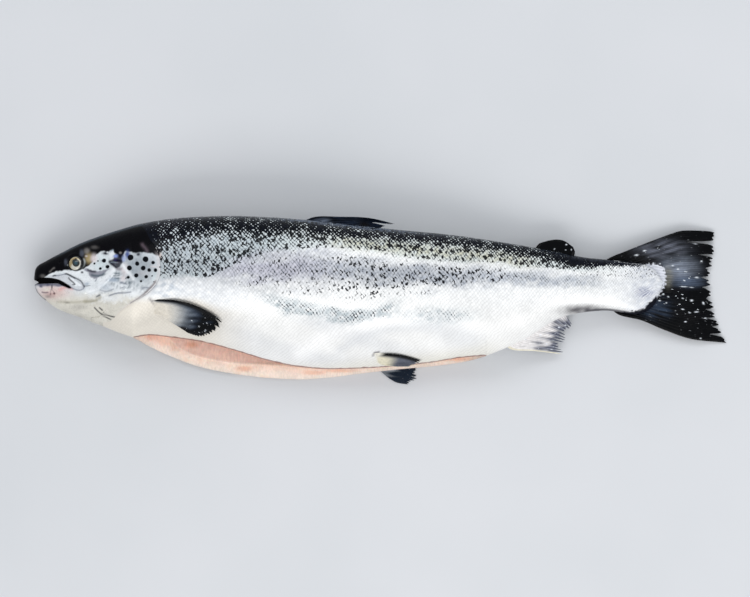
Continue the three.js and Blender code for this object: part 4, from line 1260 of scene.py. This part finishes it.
# %% Where the scales lie, and the trunk itself
scale_size = through([[60, 3.8], [200, 4.1], [420, 4.0], [560, 3.3], [654, 2.6]])
SCALE_WIDTH = 1.22
LIP_CREAM = colour(238, 216, 196)
KEEL_CREAM = colour(240, 214, 192)
fine_x = np.linspace(60, 660, 601)
scales_down = np.cumsum(1 / scale_size(fine_x))
down = np.interp(trunk_x, fine_x, scales_down)
from_spine = np.concatenate([
    over_length[:, None] * np.linspace(1, 0, UPPER_COLUMNS)[None, :],
    -under_length[:, None] * np.linspace(0, 1, UNDER_COLUMNS)[None, 1:-1],
    -np.repeat(under_length[:, None], WALL_COLUMNS, 1),
], axis=1)
scales_round = from_spine / (SCALE_WIDTH * scale_size(tx))
scales_along = np.broadcast_to(down[:, None], from_spine.shape)
flow = np.stack([scales_along, scales_round, np.zeros(from_spine.shape)], -1)
flow = np.concatenate([flow[:1], flow, flow[-1:]])
tx, ty = trunk_grid[..., 0], trunk_grid[..., 1]
bands = trunk_bands(tx, ty, trunk_grid[..., 2])
tone = trunk_tone(tx, ty, **bands)
dark, spots, rim, plain = trunk_marks(tx, ty, **bands)
lip_run = np.linspace(0, 1, UPPER_COLUMNS)[None, :] * np.pad(over_length, 1, mode="edge")[:, None]
in_slit = ((tx[:, 0] > SLIT_START + 1) & (tx[:, 0] < SLIT_END - 1))[:, None]
blood = np.zeros(tx.shape)
over_lip = (ty - np.maximum(lip(tx), belly(tx)))[:, :UPPER_COLUMNS]
drips = 0.3 * soft_noise(tx, ty, 7, 31)[:, :UPPER_COLUMNS]
blood[:, :UPPER_COLUMNS] = 0.85 * step(1.5, 0.6, over_lip + drips) * in_slit
under_end = UPPER_COLUMNS + UNDER_COLUMNS - 2
blood[:, under_end:] = 0.9 * in_slit
near_lip = np.zeros(tx.shape)
near_lip[:, :UPPER_COLUMNS] = step(7, 1, lip_run) * in_slit
tone = lay(tone, 0.4 * near_lip, LIP_CREAM)
keel_side = np.zeros(tx.shape)
keel_side[:, UPPER_COLUMNS:under_end] = np.linspace(0, 1, UNDER_COLUMNS)[None, 1:-1]
tone = lay(tone, step(0.93, 1.0, keel_side) * in_slit, KEEL_CREAM)
visible_scales = step(0, 14, bands["behind_head"]) * mix(0.16, 1.0, step(-45, 12, ty))
visible_scales = np.maximum(visible_scales, 0.6 * step(500, 560, tx)) * (1 - bands["beyond"])
visible_scales = visible_scales * mix(1.0, 0.55, plain * step(-45, -10, ty))
make_piece(
    "trunk", trunk_grid, trunk_skin, ["body"], "skin",
    tone=tone, dark=dark, spots=spots, rim=rim, blood=blood, flow=flow, scales=visible_scales,
    rows=mix(0.3, 1.0, step(150, 240, tx)), shine=0.16 * step(-60, -10, ty),
)

# %% [markdown]
# ## Belly flesh
# The cut face is pale, fatty muscle with a faint grain across it; the lining of the empty belly
# is a thin, shiny skin over darker pink flesh. Light sinks a little way into raw fish, so the
# material scatters light under its surface.

# %% The flesh's colours and material
CUT_CREAM = colour(242, 218, 203)
CUT_PINK = colour(234, 192, 168)
FORE_PINK = colour(224, 168, 144)
LINING_PINK = colour(240, 202, 186)
LINING_ROSE = colour(230, 184, 170)
AMBER = colour(220, 150, 112)
FACE_RIM = colour(246, 228, 216)
# Amber spots: x, y, half length, half height.
AMBER_SPOTS = [
    (164, -57, 7, 3), (218, -82, 9, 3), (290, -86, 12, 2.4), (318, -84, 16, 2), (442, -72, 14, 2.2),
]


def belly_flesh():
    """Pale muscle with a grain across it and warm clouds; light sinks a little way in."""
    material, tree, shader = wet_surface("belly_flesh")
    place = box(tree, "TexCoord", out="Object")
    fibre = {"Vector": place, "Scale": (1.0, 0.35, 0.6), "Rotation": (0, 0, 0.5)}
    grain = noise(tree, box(tree, "Mapping", fibre), 620.0, 4.0)
    cloud = noise(tree, place, 70.0, 3.0)
    both = plus(tree, grain, cloud)
    ground = dimmed(tree, mark(tree, "tone"), ramp(tree, both, 0.7, 1.3, 0.88, 1.1))
    ground = tint(tree, ramp(tree, cloud, 0.52, 0.72, 0.0, 0.5), ground, CUT_PINK)
    rough = ramp(tree, grain, 0.3, 0.7, 0.26, 0.46)
    plug(tree, shader, Base_Color=ground, Roughness=rough, Normal=relief(tree, both, 0.4, 0.0006))
    plug(tree, shader, Subsurface_Weight=0.22, Subsurface_Scale=0.004)
    plug(tree, shader, Subsurface_Radius=(1.0, 0.4, 0.25))
    plug(tree, shader, Coat_Weight=0.35, Coat_Roughness=0.15, IOR=1.4)
    return material


FLESH_COLUMNS = 150
flesh_x = np.linspace(SLIT_START, SLIT_END, 300)
inner_path = open_flesh(flesh_x, FLESH_COLUMNS)
outer_path = behind(inner_path, FLESH_LAYER)[:, ::-1]
flesh_grid = with_x(flesh_x, np.concatenate([inner_path, outer_path[:, 1:-1]], axis=1))
fx, fy = flesh_grid[..., 0], flesh_grid[..., 1]
from_lower = fy - belly(fx)
mottle = soft_noise(fx, fy, 12, 22)
on_path = np.arange(flesh_grid.shape[1])[None, :] / FLESH_COLUMNS
lining = step(-0.5, 0.9, from_lower - np.maximum(face_width(fx), 2) + 0.5 * soft_noise(fx, fy, 14, 21))
lining = lining * step(134, 142, fx) * step(0.96, 0.9, on_path)
flesh_tone = np.broadcast_to(CUT_CREAM, (*fx.shape, 3))
flesh_tone = lay(flesh_tone, step(5, 13, from_lower + 2 * mottle) * 0.6, CUT_PINK)
flesh_tone = lay(flesh_tone, step(165, 112, fx) * 0.8 * step(2, 14, from_lower + mottle), FORE_PINK)
flesh_tone = lay(flesh_tone, lining, LINING_PINK)
flesh_tone = lay(flesh_tone, lining * step(0.1, 0.9, mottle) * 0.5, LINING_ROSE)
face_rim = bell(from_lower - face_width(fx), 0.9) * step(134, 142, fx)
flesh_tone = lay(flesh_tone, 0.35 * face_rim, FACE_RIM)
for *middle_of_spot, half_length, half_height in AMBER_SPOTS:
    amber = patch(fx, fy, middle_of_spot, [half_length, half_height])
    flesh_tone = lay(flesh_tone, 0.6 * amber, AMBER)
make_piece("flesh_lining", flesh_grid, belly_flesh(), ["flesh"], "flesh", tone=flesh_tone)

# %% [markdown]
# ## Fins
# A fin is a thin membrane over bony rays that split as they near its torn margin. It is a patch
# stretched between four edges: root, leading edge, trailing edge and margin. The stretched patch
# is the sum of the two ways to stretch it, less the plain four-cornered patch that both count.
# The rays are ridges across it. The margin is torn back between some of them.

# %% Fin outlines and their layout, in fish millimetres
# thick: at root and margin. rays: ridges across the fin. fray: how ragged the margin is.
# drop, lift, pressed: how far it sags, lies off the flank, or lies above the counter.
# size: points across and out. tears: (place across, depth, width), as shares of the fin.
FINS = {
    "dorsal_fin": dict(
        root=[[270, 64], [352, 56]], lead=[[270, 64], [290, 75.6], [318, 76.2], [348, 75], [376, 68.6]],
        trail=[[352, 56], [359, 64]], margin=[[376, 68.6], [368, 67.2], [359, 64]],
        thick=(5, 0.7), rays=9, fray=0.06, drop=1.0, size=(120, 40), tears=[(0.42, 0.22, 0.08)]),
    "adipose_fin": dict(
        root=[[518, 34], [558, 28]], lead=[[518, 34], [524, 47.2], [535, 51.6]],
        trail=[[558, 28], [562.6, 38], [561, 44.6]],
        margin=[[535, 51.6], [543.6, 52.6], [552, 51], [561, 44.6]],
        thick=(6.4, 2.2), rays=0, fray=0.0, drop=0.0, size=(64, 32), tears=[]),
    "anal_fin": dict(
        root=[[485, -50], [548, -16]], lead=[[485, -50], [496, -61.6], [520, -63.4], [550, -66.8]],
        trail=[[548, -16], [556, -30], [560, -36]],
        margin=[[550, -66.8], [556, -58], [557, -46], [560, -36]],
        thick=(4.2, 0.5), rays=13, fray=0.30, drop=14.0, size=(156, 60), tears=[]),
    "caudal_fin": dict(
        root=[[590, 28], [596, -14]],
        lead=[[590, 28], [600.8, 34.6], [614, 39.9], [630.6, 46.5], [649.7, 53.8], [664, 59], [676, 61.9],
              [700, 61.5], [708, 60]],
        trail=[[596, -14], [608, -25.6], [632, -31.6], [656, -41.6], [684, -51], [720.7, -55]],
        margin=[[708, 60], [708.6, 45], [707, 28], [705, 10], [706.4, -6], [710, -22], [715, -38],
                [720.7, -55]],
        thick=(6, 0.6), rays=30, fray=0.04, drop=3.6, size=(250, 176),
        tears=[(0.102, 0.22, 0.010), (0.212, 0.12, 0.009), (0.33, 0.05, 0.010), (0.41, 0.06, 0.012),
               (0.50, 0.07, 0.010), (0.60, 0.05, 0.012), (0.70, 0.08, 0.009), (0.78, 0.07, 0.012),
               (0.86, 0.05, 0.01), (0.93, 0.11, 0.010)]),
    "pectoral_fin_left": dict(
        root=[[118, -9], [121, -24]], lead=[[118, -9], [131, -9.6], [150, -11], [170, -16.6], [188, -26],
                                            [196, -33.4]],
        trail=[[121, -24], [134, -28], [148, -36.5], [161, -45]],
        margin=[[196, -33.4], [192.4, -41], [184, -47.2], [173, -49], [161, -45]],
        thick=(3.4, 0.6), rays=14, fray=0.05, lift=3.4, size=(120, 70),
        tears=[(0.06, 0.10, 0.02), (0.2, 0.06, 0.02)]),
    "pelvic_fin_left": dict(
        root=[[348, -64], [355, -76]], lead=[[348, -64], [361, -65.6], [382, -67.6], [404, -73.6]],
        trail=[[355, -76], [370, -79.2], [390, -79.6]], margin=[[404, -73.6], [399, -77.4], [390, -79.6]],
        thick=(3.4, 0.6), rays=9, fray=0.10, lift=2.6, size=(84, 50), tears=[]),
    "pectoral_fin_right": dict(
        root=[[118, -9], [121, -24]], lead=[[118, -9], [131, -9.6], [150, -11], [170, -16.6], [188, -27],
                                            [194, -33.4]],
        trail=[[121, -24], [134, -27], [148, -35.5], [161, -44.4]],
        margin=[[194, -33.4], [189, -41], [182, -46.6], [172, -47.8], [162, -43.6]],
        thick=(1.6, 0.7), rays=14, fray=0.05, pressed=1.2, size=(96, 40), tears=[]),
    "pelvic_fin_right": dict(
        root=[[350, -70], [356, -62]], lead=[[350, -70], [360, -84], [375, -95.4], [389, -98.4]],
        trail=[[356, -62], [380, -72], [400, -79]], margin=[[389, -98.4], [398.6, -92], [400, -79]],
        thick=(1.6, 0.7), rays=9, fray=0.12, pressed=1.2, size=(84, 50), tears=[]),
}
print(len(FINS), "fins are laid out")

# %% From a fin's outline to its grid
EDGE_POINTS = 200
# A fin that lies on the flank starts under the skin, and is free of it at this share of its rays.
UNDER_SKIN, FREE_OF_FLANK = -1.9, 0.42


def fin_patch(fin, u, v):
    """[x, y] at u across the fin, from leading to trailing edge, and v out along its rays."""
    edge = {k: smooth_line(fin[k], EDGE_POINTS) for k in ("root", "lead", "trail", "margin")}
    run = np.linspace(0, 1, EDGE_POINTS)

    def on(name, t):
        """[x, y] at the share t of an edge."""
        return np.stack([np.interp(t, run, edge[name][:, k]) for k in (0, 1)], -1)

    u1, v1 = u[..., None], v[..., None]
    across = mix(on("root", u), on("margin", u), v1)
    along = mix(on("lead", v), on("trail", v), u1)
    near = mix(edge["root"][0], edge["root"][-1], u1)
    far = mix(edge["margin"][0], edge["margin"][-1], u1)
    return across + along - mix(near, far, v1)


def fin_level(fin, x, y, v):
    """Height of the fin's middle surface: it sags from the middle plane, lies on the flank, or
    is pressed flat under the fish."""
    if "pressed" in fin:
        return np.full_like(x, fin["pressed"])
    if "lift" in fin:
        flank = upper_skin(x, np.maximum(y, corners(x)[1][0] + 3))
        return flank + mix(UNDER_SKIN, fin["lift"], step(0, FREE_OF_FLANK, v))
    return middle(x) - fin["drop"] * v


def fin_points(name):
    """The grid of both faces, joined at the edges, with u, v and the phase of the rays."""
    fin = FINS[name]
    across, out = fin["size"]
    draw = np.random.default_rng(sum(map(ord, name)))
    u_row = np.linspace(0, 1, across)
    torn = np.zeros(across)
    for place, depth, width in fin["tears"]:
        torn += depth * bell(u_row - place, width)
    if fin["fray"]:
        ray = np.cos(2 * np.pi * fin["rays"] * u_row)
        ragged = np.interp(u_row * 40, np.arange(60), draw.uniform(0, 1, 60))
        torn += fin["fray"] * (0.30 * (1 - ray) + 0.7 * ragged) * np.sin(np.pi * u_row) ** 0.4
    v = np.linspace(0, 1, out)[:, None] * (1 - torn[None, :])
    u = np.broadcast_to(u_row, v.shape)
    place = fin_patch(fin, u, v)
    x, y = place[..., 0], place[..., 1]
    phase = u * fin["rays"]
    split = step(0.35, 0.75, v)
    ridge = mix(np.cos(2 * np.pi * phase), np.cos(4 * np.pi * phase), split)
    wave = soft_noise(x, y, 30, 40) * 0.5 * v
    half = mix(fin["thick"][0], fin["thick"][1], np.sqrt(np.clip(v, 0, 1))) / 2
    rim = np.minimum(np.minimum(u, 1 - u) * across / 5, (1 - v / (1 - torn)) * out / 3)
    half = half * (1 + 0.22 * ridge) * np.sqrt(np.clip(rim, 0.02, 1))
    level = fin_level(fin, x, y, v) + (0 if "pressed" in fin else wave)
    if "pressed" in fin:
        level = np.maximum(level, half + 0.1)
    faces = [np.stack([x, y, level + s * half], -1) for s in (1, -1)]
    grid = np.concatenate([faces[0], faces[1][:, ::-1]], axis=1)
    root_pole = np.broadcast_to(grid[0].mean(0), grid[:1].shape)
    edge_middle = (grid[-1] + grid[-1][::-1]) / 2
    grid = np.concatenate([root_pole, grid, edge_middle[None]])

    def both(a):
        """The same values on both faces and on the two rows that close them."""
        a = np.concatenate([a, a[:, ::-1]], axis=1)
        return np.concatenate([a[:1], a, a[-1:]])

    return grid, both(u), both(v), both(phase)


print("a fin's edges are lines of", EDGE_POINTS, "points")

# %% [markdown]
# Fin skin is dark and slimy. Rays show as fine lines, paler near the root, and the wet film
# # between them is bumpy, with beads of water along the rays that are painted white as glints.

# %% The fins' material
BEAD_GLINT = colour(236, 242, 248)


def fin_skin():
    """Dark membrane lined by its rays, with raised beads of water along them, painted white as glints."""
    material, tree, shader = wet_surface("fin_skin")
    place = box(tree, "TexCoord", out="Object")
    phase = box(tree, "SeparateXYZ", {0: mark(tree, "ray")})
    depth = phase.node.outputs[1]
    line = calc(tree, "SINE", times(tree, phase, 4 * np.pi))
    line = times(tree, line, ramp(tree, depth, 0.1, 0.5))
    speck = noise(tree, place, 300.0, 4.0)
    bright = plus(tree, ramp(tree, speck, 0.3, 0.7, 0.90, 1.07), times(tree, line, 0.22))
    ground = dimmed(tree, mark(tree, "tone"), bright)
    along = box(tree, "CombineXYZ", {0: times(tree, phase, 2.2), 1: times(tree, depth, 24.0)})
    # Beads of water: small raised bumps along the rays, painted white as glints where the fin is wet.
    bead_and_glint = ramp(tree, noise(tree, along, 1.0, 1.0), 0.70, 0.74)
    bead_and_glint = times(tree, bead_and_glint, mark(tree, "wet", "Fac"))
    ground = tint(tree, bead_and_glint, ground, BEAD_GLINT)
    film = noise(tree, place, 160.0, 3.0)
    height = plus(tree, times(tree, line, 0.25), plus(tree, film, speck))
    height = plus(tree, height, bead_and_glint)
    rough = ramp(tree, speck, 0.3, 0.7, 0.14, 0.26)
    plug(tree, shader, Base_Color=ground, Roughness=rough, Normal=relief(tree, height, 0.35, 0.0005))
    plug(tree, shader, Coat_Weight=0.06, Coat_Roughness=0.05, IOR=1.14)
    return material


fin_material = fin_skin()
print("the fins' skin has", len(fin_material.node_tree.nodes), "nodes")

# %% The fins' colours
FIN_BLACK = colour(4, 5, 8)
FIN_BLUE = colour(46, 58, 76)
FIN_GREY = colour(98, 102, 114)
FIN_STEEL = colour(122, 130, 144)
FIN_MIST = colour(150, 158, 166)
FIN_OLIVE = colour(126, 124, 112)
FIN_YELLOW = colour(222, 216, 194)
FIN_PURPLE = colour(76, 80, 94)
FIN_MILK = colour(232, 229, 229)
FIN_DUSK = colour(84, 96, 116)
FIN_NAVY = colour(24, 34, 48)
FIN_LILAC = colour(150, 153, 166)
FIN_CREAM = colour(228, 222, 200)
BACK_FIN_NAVY = colour(22, 34, 52)
STALK_WHITE = colour(214, 217, 226)
GLINT_WHITE = colour(232, 238, 246)

# Splinters of light on the wet fins: x, y, half length, half height.
GLINTS = [
    (626.5, 36.2, 2.0, 1.2), (635.4, 41, 1.9, 1.0), (665, 25.5, 1.4, 0.9), (670.6, 22, 1.5, 0.9),
    (689, 13, 2.2, 1.0), (677, 10, 1.2, 0.8), (676, 3.4, 4.4, 0.6), (684, 2.6, 2.4, 0.5),
    (654.5, -4.4, 1.3, 1.0), (660.4, -6.8, 1.1, 0.8), (651, -11, 1.4, 0.8), (658, -13.3, 1.0, 0.7),
    (675, -8.6, 1.1, 0.8), (684, -11, 1.7, 1.2), (696.6, -13.6, 1.1, 2.0), (675, -20, 1.8, 0.8),
    (683, -23.4, 1.6, 0.7), (690, -22.6, 2.2, 0.8), (698.4, -29.4, 1.1, 1.0), (678, -33, 1.4, 0.7),
    (693.8, -50.3, 1.2, 0.8), (688, 48.2, 1.4, 0.7), (695, 30.2, 1.2, 0.7), (553.8, 47.3, 1.1, 0.9),
    (541.1, 42.6, 0.9, 0.7), (553, 41.7, 0.8, 0.6), (559, 42, 0.6, 1.2), (546.4, -38.9, 1.3, 0.9),
    (552.6, -36.8, 1.1, 0.8), (526.5, -46.9, 1.2, 0.7), (511.3, -51.6, 1.2, 0.6),
    (538.5, -61.8, 1.4, 0.8), (548.6, -61, 1.2, 0.8), (553, -57.4, 1.2, 0.7),
    (539.8, -52.2, 1.0, 0.7), (533.2, -56.2, 1.1, 0.7), (164.5, -31.7, 0.7, 0.6),
    (171.8, -37.7, 0.8, 0.6), (179.1, -41.7, 0.8, 0.6), (180.4, -34.4, 0.7, 0.6),
    (178, -42.8, 0.7, 0.6),
]


def fin_colours(name, x, y, u, v):
    """(colour, share covered with beads of water, which the fin's material paints white as
    glints): layers over black, by their place on the fish, or by u across the fin and v out
    along its rays, with the painted glints of GLINTS over all."""
    streak = soft_noise(x * 0.18, 110 * u if name == "caudal_fin" else y, 4, 61)
    smoke = soft_noise(x * 0.6, y, 9, 62)
    # wet is the share where the fin's material paints beads of water white as glints.
    everywhere = np.ones(x.shape)
    wet = 0.5 * everywhere
    layers = []
    if name == "caudal_fin":
        white = (1 - beyond_stalk(x, y)) * step(634, 640, x)
        layers = [
            (patch(x, y, [654, 43], [25, 9]) * (0.62 + 0.35 * streak + 0.3 * smoke), FIN_GREY),
            (patch(x, y, [671, 22], [19, 12]) * (0.85 + 0.25 * streak), FIN_STEEL),
            (patch(x, y, [680, 9], [17, 6]) * (0.7 + 0.2 * streak), FIN_DUSK),
            (patch(x, y, [660, 14], [5, 10]) * (0.6 + 0.3 * streak), FIN_OLIVE),
            (patch(x, y, [648, -19], [16, 10]) * (0.6 + 0.5 * streak), FIN_BLUE),
            (white, STALK_WHITE),
        ]
        wet = patch(x, y, [682, -6], [34, 22]) + patch(x, y, [640, 42], [22, 5])
        wet = np.clip(wet + patch(x, y, [686, 12], [16, 9]), 0.15, 1) * (1 - white)
    elif name.startswith("pectoral"):
        mist = step(0.76, 0.38, v + 0.2 * (0.5 - u) + 0.05 * smoke) * step(0.06, 0.26, u)
        pale = step(0.64, 0.24, v + 0.25 * (0.5 - u))
        pale = pale * np.maximum(step(0.07, 0.24, u), step(0.07, 0.02, v))
        layers = [
            (step(0.84, 0.5, v + 0.1 * smoke) * step(0.05, 0.2, u), FIN_BLUE),
            (mist, FIN_MIST),
            (pale, BREAST_CREAM),
        ]
        wet = 0.6 * step(0.6, 0.9, v)
    elif name == "pelvic_fin_left":
        layers = [
            (step(0.12, 0.34, u), FIN_GREY),
            (step(0.62, 0.3, v) * step(0.12, 0.4, u), FIN_YELLOW),
            (step(0.34, 0.2, v + 0.3 * u), BELLY_CREAM),
        ]
        wet = 0.2 * v
    elif name == "pelvic_fin_right":
        layers = [
            (everywhere, FIN_NAVY),
            (0.9 * step(0.62, 0.3, v + 0.12 * streak), FIN_MIST),
            (step(0.42, 0.16, v), FIN_YELLOW),
        ]
        wet = 0.3 * v
    elif name == "anal_fin":
        off_ray = 0.5 - 0.5 * np.cos(2 * np.pi * FINS[name]["rays"] * u)
        milk = step(0.72, 0.32, v + 0.12 * streak + 0.08 * smoke + 0.1 * (u - 0.5))
        layers = [
            (everywhere, FIN_PURPLE),
            (0.7 * off_ray, FIN_LILAC),
            (milk, FIN_MILK),
            (0.9 * step(0.05, 0.02, u), FIN_CREAM),
        ]
        wet = 0.9 * step(0.3, 0.6, v)
    elif name == "dorsal_fin":
        layers = [
            (0.5 + 0.4 * streak, BACK_FIN_NAVY),
            # The fin's front corner, low against the ridge, takes the ridge's painted sheen.
            (0.9 * step(312, 300, x) * step(0.05, 0.2, u), RIDGE_SHEEN),
        ]
        wet = 0.05 * everywhere
    for gx, gy, along, across in GLINTS:
        ragged = 0.3 * along * streak
        glint = patch(x + ragged, y + 0.3 * ragged, [gx, gy], [0.8 * along, 0.72 * across])
        layers.append((glint, GLINT_WHITE))
    return painted(FIN_BLACK, layers, x.shape), wet


for fin_name in FINS:
    grid, u, v, phase = fin_points(fin_name)
    fin_tone, fin_glint_share = fin_colours(fin_name, grid[..., 0], grid[..., 1], u, v)
    make_piece(
        fin_name + "_membrane", grid, fin_material, [fin_name], "fin",
        tone=fin_tone, wet=fin_glint_share, ray=np.stack([phase, v], -1),
    )

# %% [markdown]
# ## Eyes
# A salmon's eye is a flattened ball with a pupil that points a little forwards, a gold ring
# round it that turns silver below, and a clear wet skin over all. The ball is turned on a
# profile, and its material draws the rings from the place on the ball.

# %% The eye's material
IRIS_SILVER = colour(206, 204, 194)
IRIS_GOLD = colour(158, 136, 88)
IRIS_BRONZE = colour(130, 116, 84)
BROW_SHADOW = colour(46, 22, 18)
IRIS_CREAM = colour(206, 190, 148)
PUPIL_RIM = colour(4, 12, 14)
PUPIL_TEAL_SHEEN = colour(26, 66, 80)
HALF_ROOT = 0.7071


def eye_material():
    """Rings drawn from the place on the ball: a dark pupil with a painted teal sheen, drawn out
    towards the snout and the brow, a gold ring that turns silver below, a painted shadow of the
    brow across the ring's top, and the dark edge of the socket."""
    material, tree, shader = wet_surface("wet_eye")
    iris = mark(tree, "iris")
    down = box(tree, "SeparateXYZ", {0: iris})
    up = down.node.outputs[1]
    flat = box(tree, "CombineXYZ", {0: down, 1: up})
    fore = times(tree, minus(tree, up, down), HALF_ROOT)
    away = length(tree, added(tree, flat, (-0.17, 0.09, 0.0)))
    turned = calc(tree, "DIVIDE", plus(tree, fore, 0.18), plus(tree, away, 0.001))
    turned = calc(tree, "MINIMUM", calc(tree, "MAXIMUM", turned, 0.0), 1.0)
    drawn = times(tree, calc(tree, "POWER", turned, 5.0), -0.26)
    pupil = times(tree, away, plus(tree, 1.0, drawn))
    iris_reach = length(tree, added(tree, flat, (0.09, 0.10, 0.0)))
    brow_shadow_gap = length(tree, added(tree, flat, (-0.14, -0.52, 0.0)))
    grain = noise(tree, iris, 9.0, 4.0)
    outer = times(tree, ramp(tree, iris_reach, 0.66, 0.74, 0.0, 0.8), ramp(tree, fore, -0.7, 0.2))
    seen = tint(tree, ramp(tree, fore, -0.1, 0.3), IRIS_SILVER, IRIS_GOLD)
    for share, over in (
        (ramp(tree, grain, 0.4, 0.8, 0.0, 0.25), IRIS_BRONZE),
        # A painted shadow of the brow, dark brown across the top of the ring.
        (ramp(tree, brow_shadow_gap, 0.22, 0.10, 0.0, 0.9), BROW_SHADOW),
        (outer, IRIS_CREAM),
        (ramp(tree, iris_reach, 0.78, 0.88), SOCKET_BLACK),
        (ramp(tree, pupil, 0.50, 0.44), PUPIL_RIM),
        # A painted teal sheen in the middle of the pupil.
        (ramp(tree, pupil, 0.36, 0.05), PUPIL_TEAL_SHEEN),
    ):
        seen = tint(tree, share, seen, over)
    plug(tree, shader, Base_Color=seen, Roughness=0.25, IOR=1.4)
    plug(tree, shader, Coat_Weight=0.8, Coat_Roughness=0.03)
    return material


wet_eye = eye_material()
print("the eye's material has", len(wet_eye.node_tree.nodes), "nodes")

# %% The shape of the eyes
EYE_SEGMENTS, EYE_RINGS = 72, 40
CORNEA_RISE, CORNEA_REACH = 0.10, 0.35
# The hidden eye stays this far above the counter, in millimetres.
EYE_FLOOR = 0.3


def eye_points(side):
    """Rings of a flattened ball: radius sin(t), height cos(t), turned to face out of the flank."""
    slope = [
        (skin(EYE[0] + dx, EYE[1] + dy, side) - skin(EYE[0] - dx, EYE[1] - dy, side)) / 4
        for dx, dy in ((2, 0), (0, 2))
    ]
    out = side * np.array([-slope[0], -slope[1], 1.0])
    out /= np.linalg.norm(out)
    level = np.array([1.0, 0, 0]) - out[0] * out
    level /= np.linalg.norm(level)
    upright = np.cross(out, level) * side
    turn = np.linspace(0, 2 * np.pi, EYE_SEGMENTS, endpoint=False)[None, :]
    down = np.linspace(0, np.pi, EYE_RINGS)[:, None]
    across, high = np.sin(down) * np.cos(turn), np.sin(down) * np.sin(turn)
    cornea = CORNEA_RISE * bell(np.sin(down), CORNEA_REACH) * np.sign(np.cos(down))
    dome = (np.cos(down) + cornea) * np.ones_like(turn)
    centre = np.array([*EYE, float(skin(EYE[0], EYE[1], side))]) - EYE_SUNK * out
    points = centre + EYE_RADIUS * (across[..., None] * level + high[..., None] * upright)
    points = points + EYE_BULGE * dome[..., None] * out
    return points, np.stack([across, high, dome], -1)


for node, side in (("eye_left", 1.0), ("eye_right", -1.0)):
    points, iris = eye_points(side)
    points[..., 2] = np.maximum(points[..., 2], EYE_FLOOR)
    make_piece(node + "ball", points, wet_eye, [node], "eye", iris=iris)

# %% [markdown]
# ## Counter, light and camera
# The fish lies on a plain pale counter under broad, soft lamps, as on a fishmonger's slab. The
# camera looks straight down through a long lens, so that the flank shows in true proportion.

# %% Counter
COUNTER_REACH = 30.0
COUNTER_DARK, COUNTER_LIGHT = colour(206, 209, 213), colour(212, 214, 218)


def plain_floor():
    """A flat square with faint clouds, matt as dry stone."""
    material, tree, shader = wet_surface("pale_counter")
    place = box(tree, "TexCoord", out="Object")
    shade = noise(tree, place, 3.0, 3.0)
    ground = tint(tree, ramp(tree, shade, 0.3, 0.7), COUNTER_DARK, COUNTER_LIGHT)
    plug(tree, shader, Base_Color=ground, Roughness=0.55)
    mesh = bpy.data.meshes.new("counter")
    turns = [(-1, -1), (1, -1), (1, 1), (-1, 1)]
    places = [(x * COUNTER_REACH, y * COUNTER_REACH, 0.0) for x, y in turns]
    mesh.from_pydata(places, [], [(0, 1, 2, 3)])
    mesh.materials.append(material)
    floor = bpy.data.objects.new("counter", mesh)
    bpy.context.collection.objects.link(floor)
    return floor


plain_floor()
print("the counter is laid")

# %% Soft light
SURROUND_TONE, SURROUND_STRENGTH = (0.955, 0.975, 1.0, 1.0), 0.62


def lamp(name, place, size, watts, tone=(1.0, 1.0, 1.0)):
    """A soft rectangle of light at a place in metres, turned to face the fish."""
    light = bpy.data.lights.new(name, "AREA")
    light.shape = "RECTANGLE"
    light.size, light.size_y = size
    light.energy = watts
    light.color = tone
    holder = bpy.data.objects.new(name, light)
    bpy.context.collection.objects.link(holder)
    holder.location = place
    holder.rotation_euler = Vector(place).to_track_quat("Z", "Y").to_euler()
    holder.visible_camera = False


lamp("back_lamp", (-0.1, 1.5, 1.55), (2.6, 0.8), 15, (0.96, 0.98, 1.0))
lamp("front_lamp", (0.1, -1.55, 1.5), (2.6, 0.9), 22, (1.0, 0.985, 0.965))
lamp("tail_lamp", (1.9, 0.1, 1.3), (0.7, 1.2), 5)
world = bpy.data.worlds.new("pale_surround")
world.use_nodes = True
surround = world.node_tree.nodes["Background"]
surround.inputs["Color"].default_value = SURROUND_TONE
surround.inputs["Strength"].default_value = SURROUND_STRENGTH
bpy.context.scene.world = world
bpy.context.scene.view_settings.view_transform = "Standard"
print("three lamps and a pale surround")

# %% Camera
VIEW_WIDTH, VIEW_CENTRE = 0.780, (-0.0057, 0.0019)
CAMERA_HEIGHT, OUTLINE_HEIGHT = 14.0, 0.025
SENSOR_WIDTH = 36.0
camera_data = bpy.data.cameras.new("overhead_camera")
camera_data.sensor_width = SENSOR_WIDTH
camera_data.lens = SENSOR_WIDTH * (CAMERA_HEIGHT - OUTLINE_HEIGHT) / VIEW_WIDTH
camera = bpy.data.objects.new("overhead_camera", camera_data)
camera.location = (*VIEW_CENTRE, CAMERA_HEIGHT)
bpy.context.collection.objects.link(camera)
bpy.context.scene.camera = camera
print("lens", round(camera_data.lens, 1), "mm")
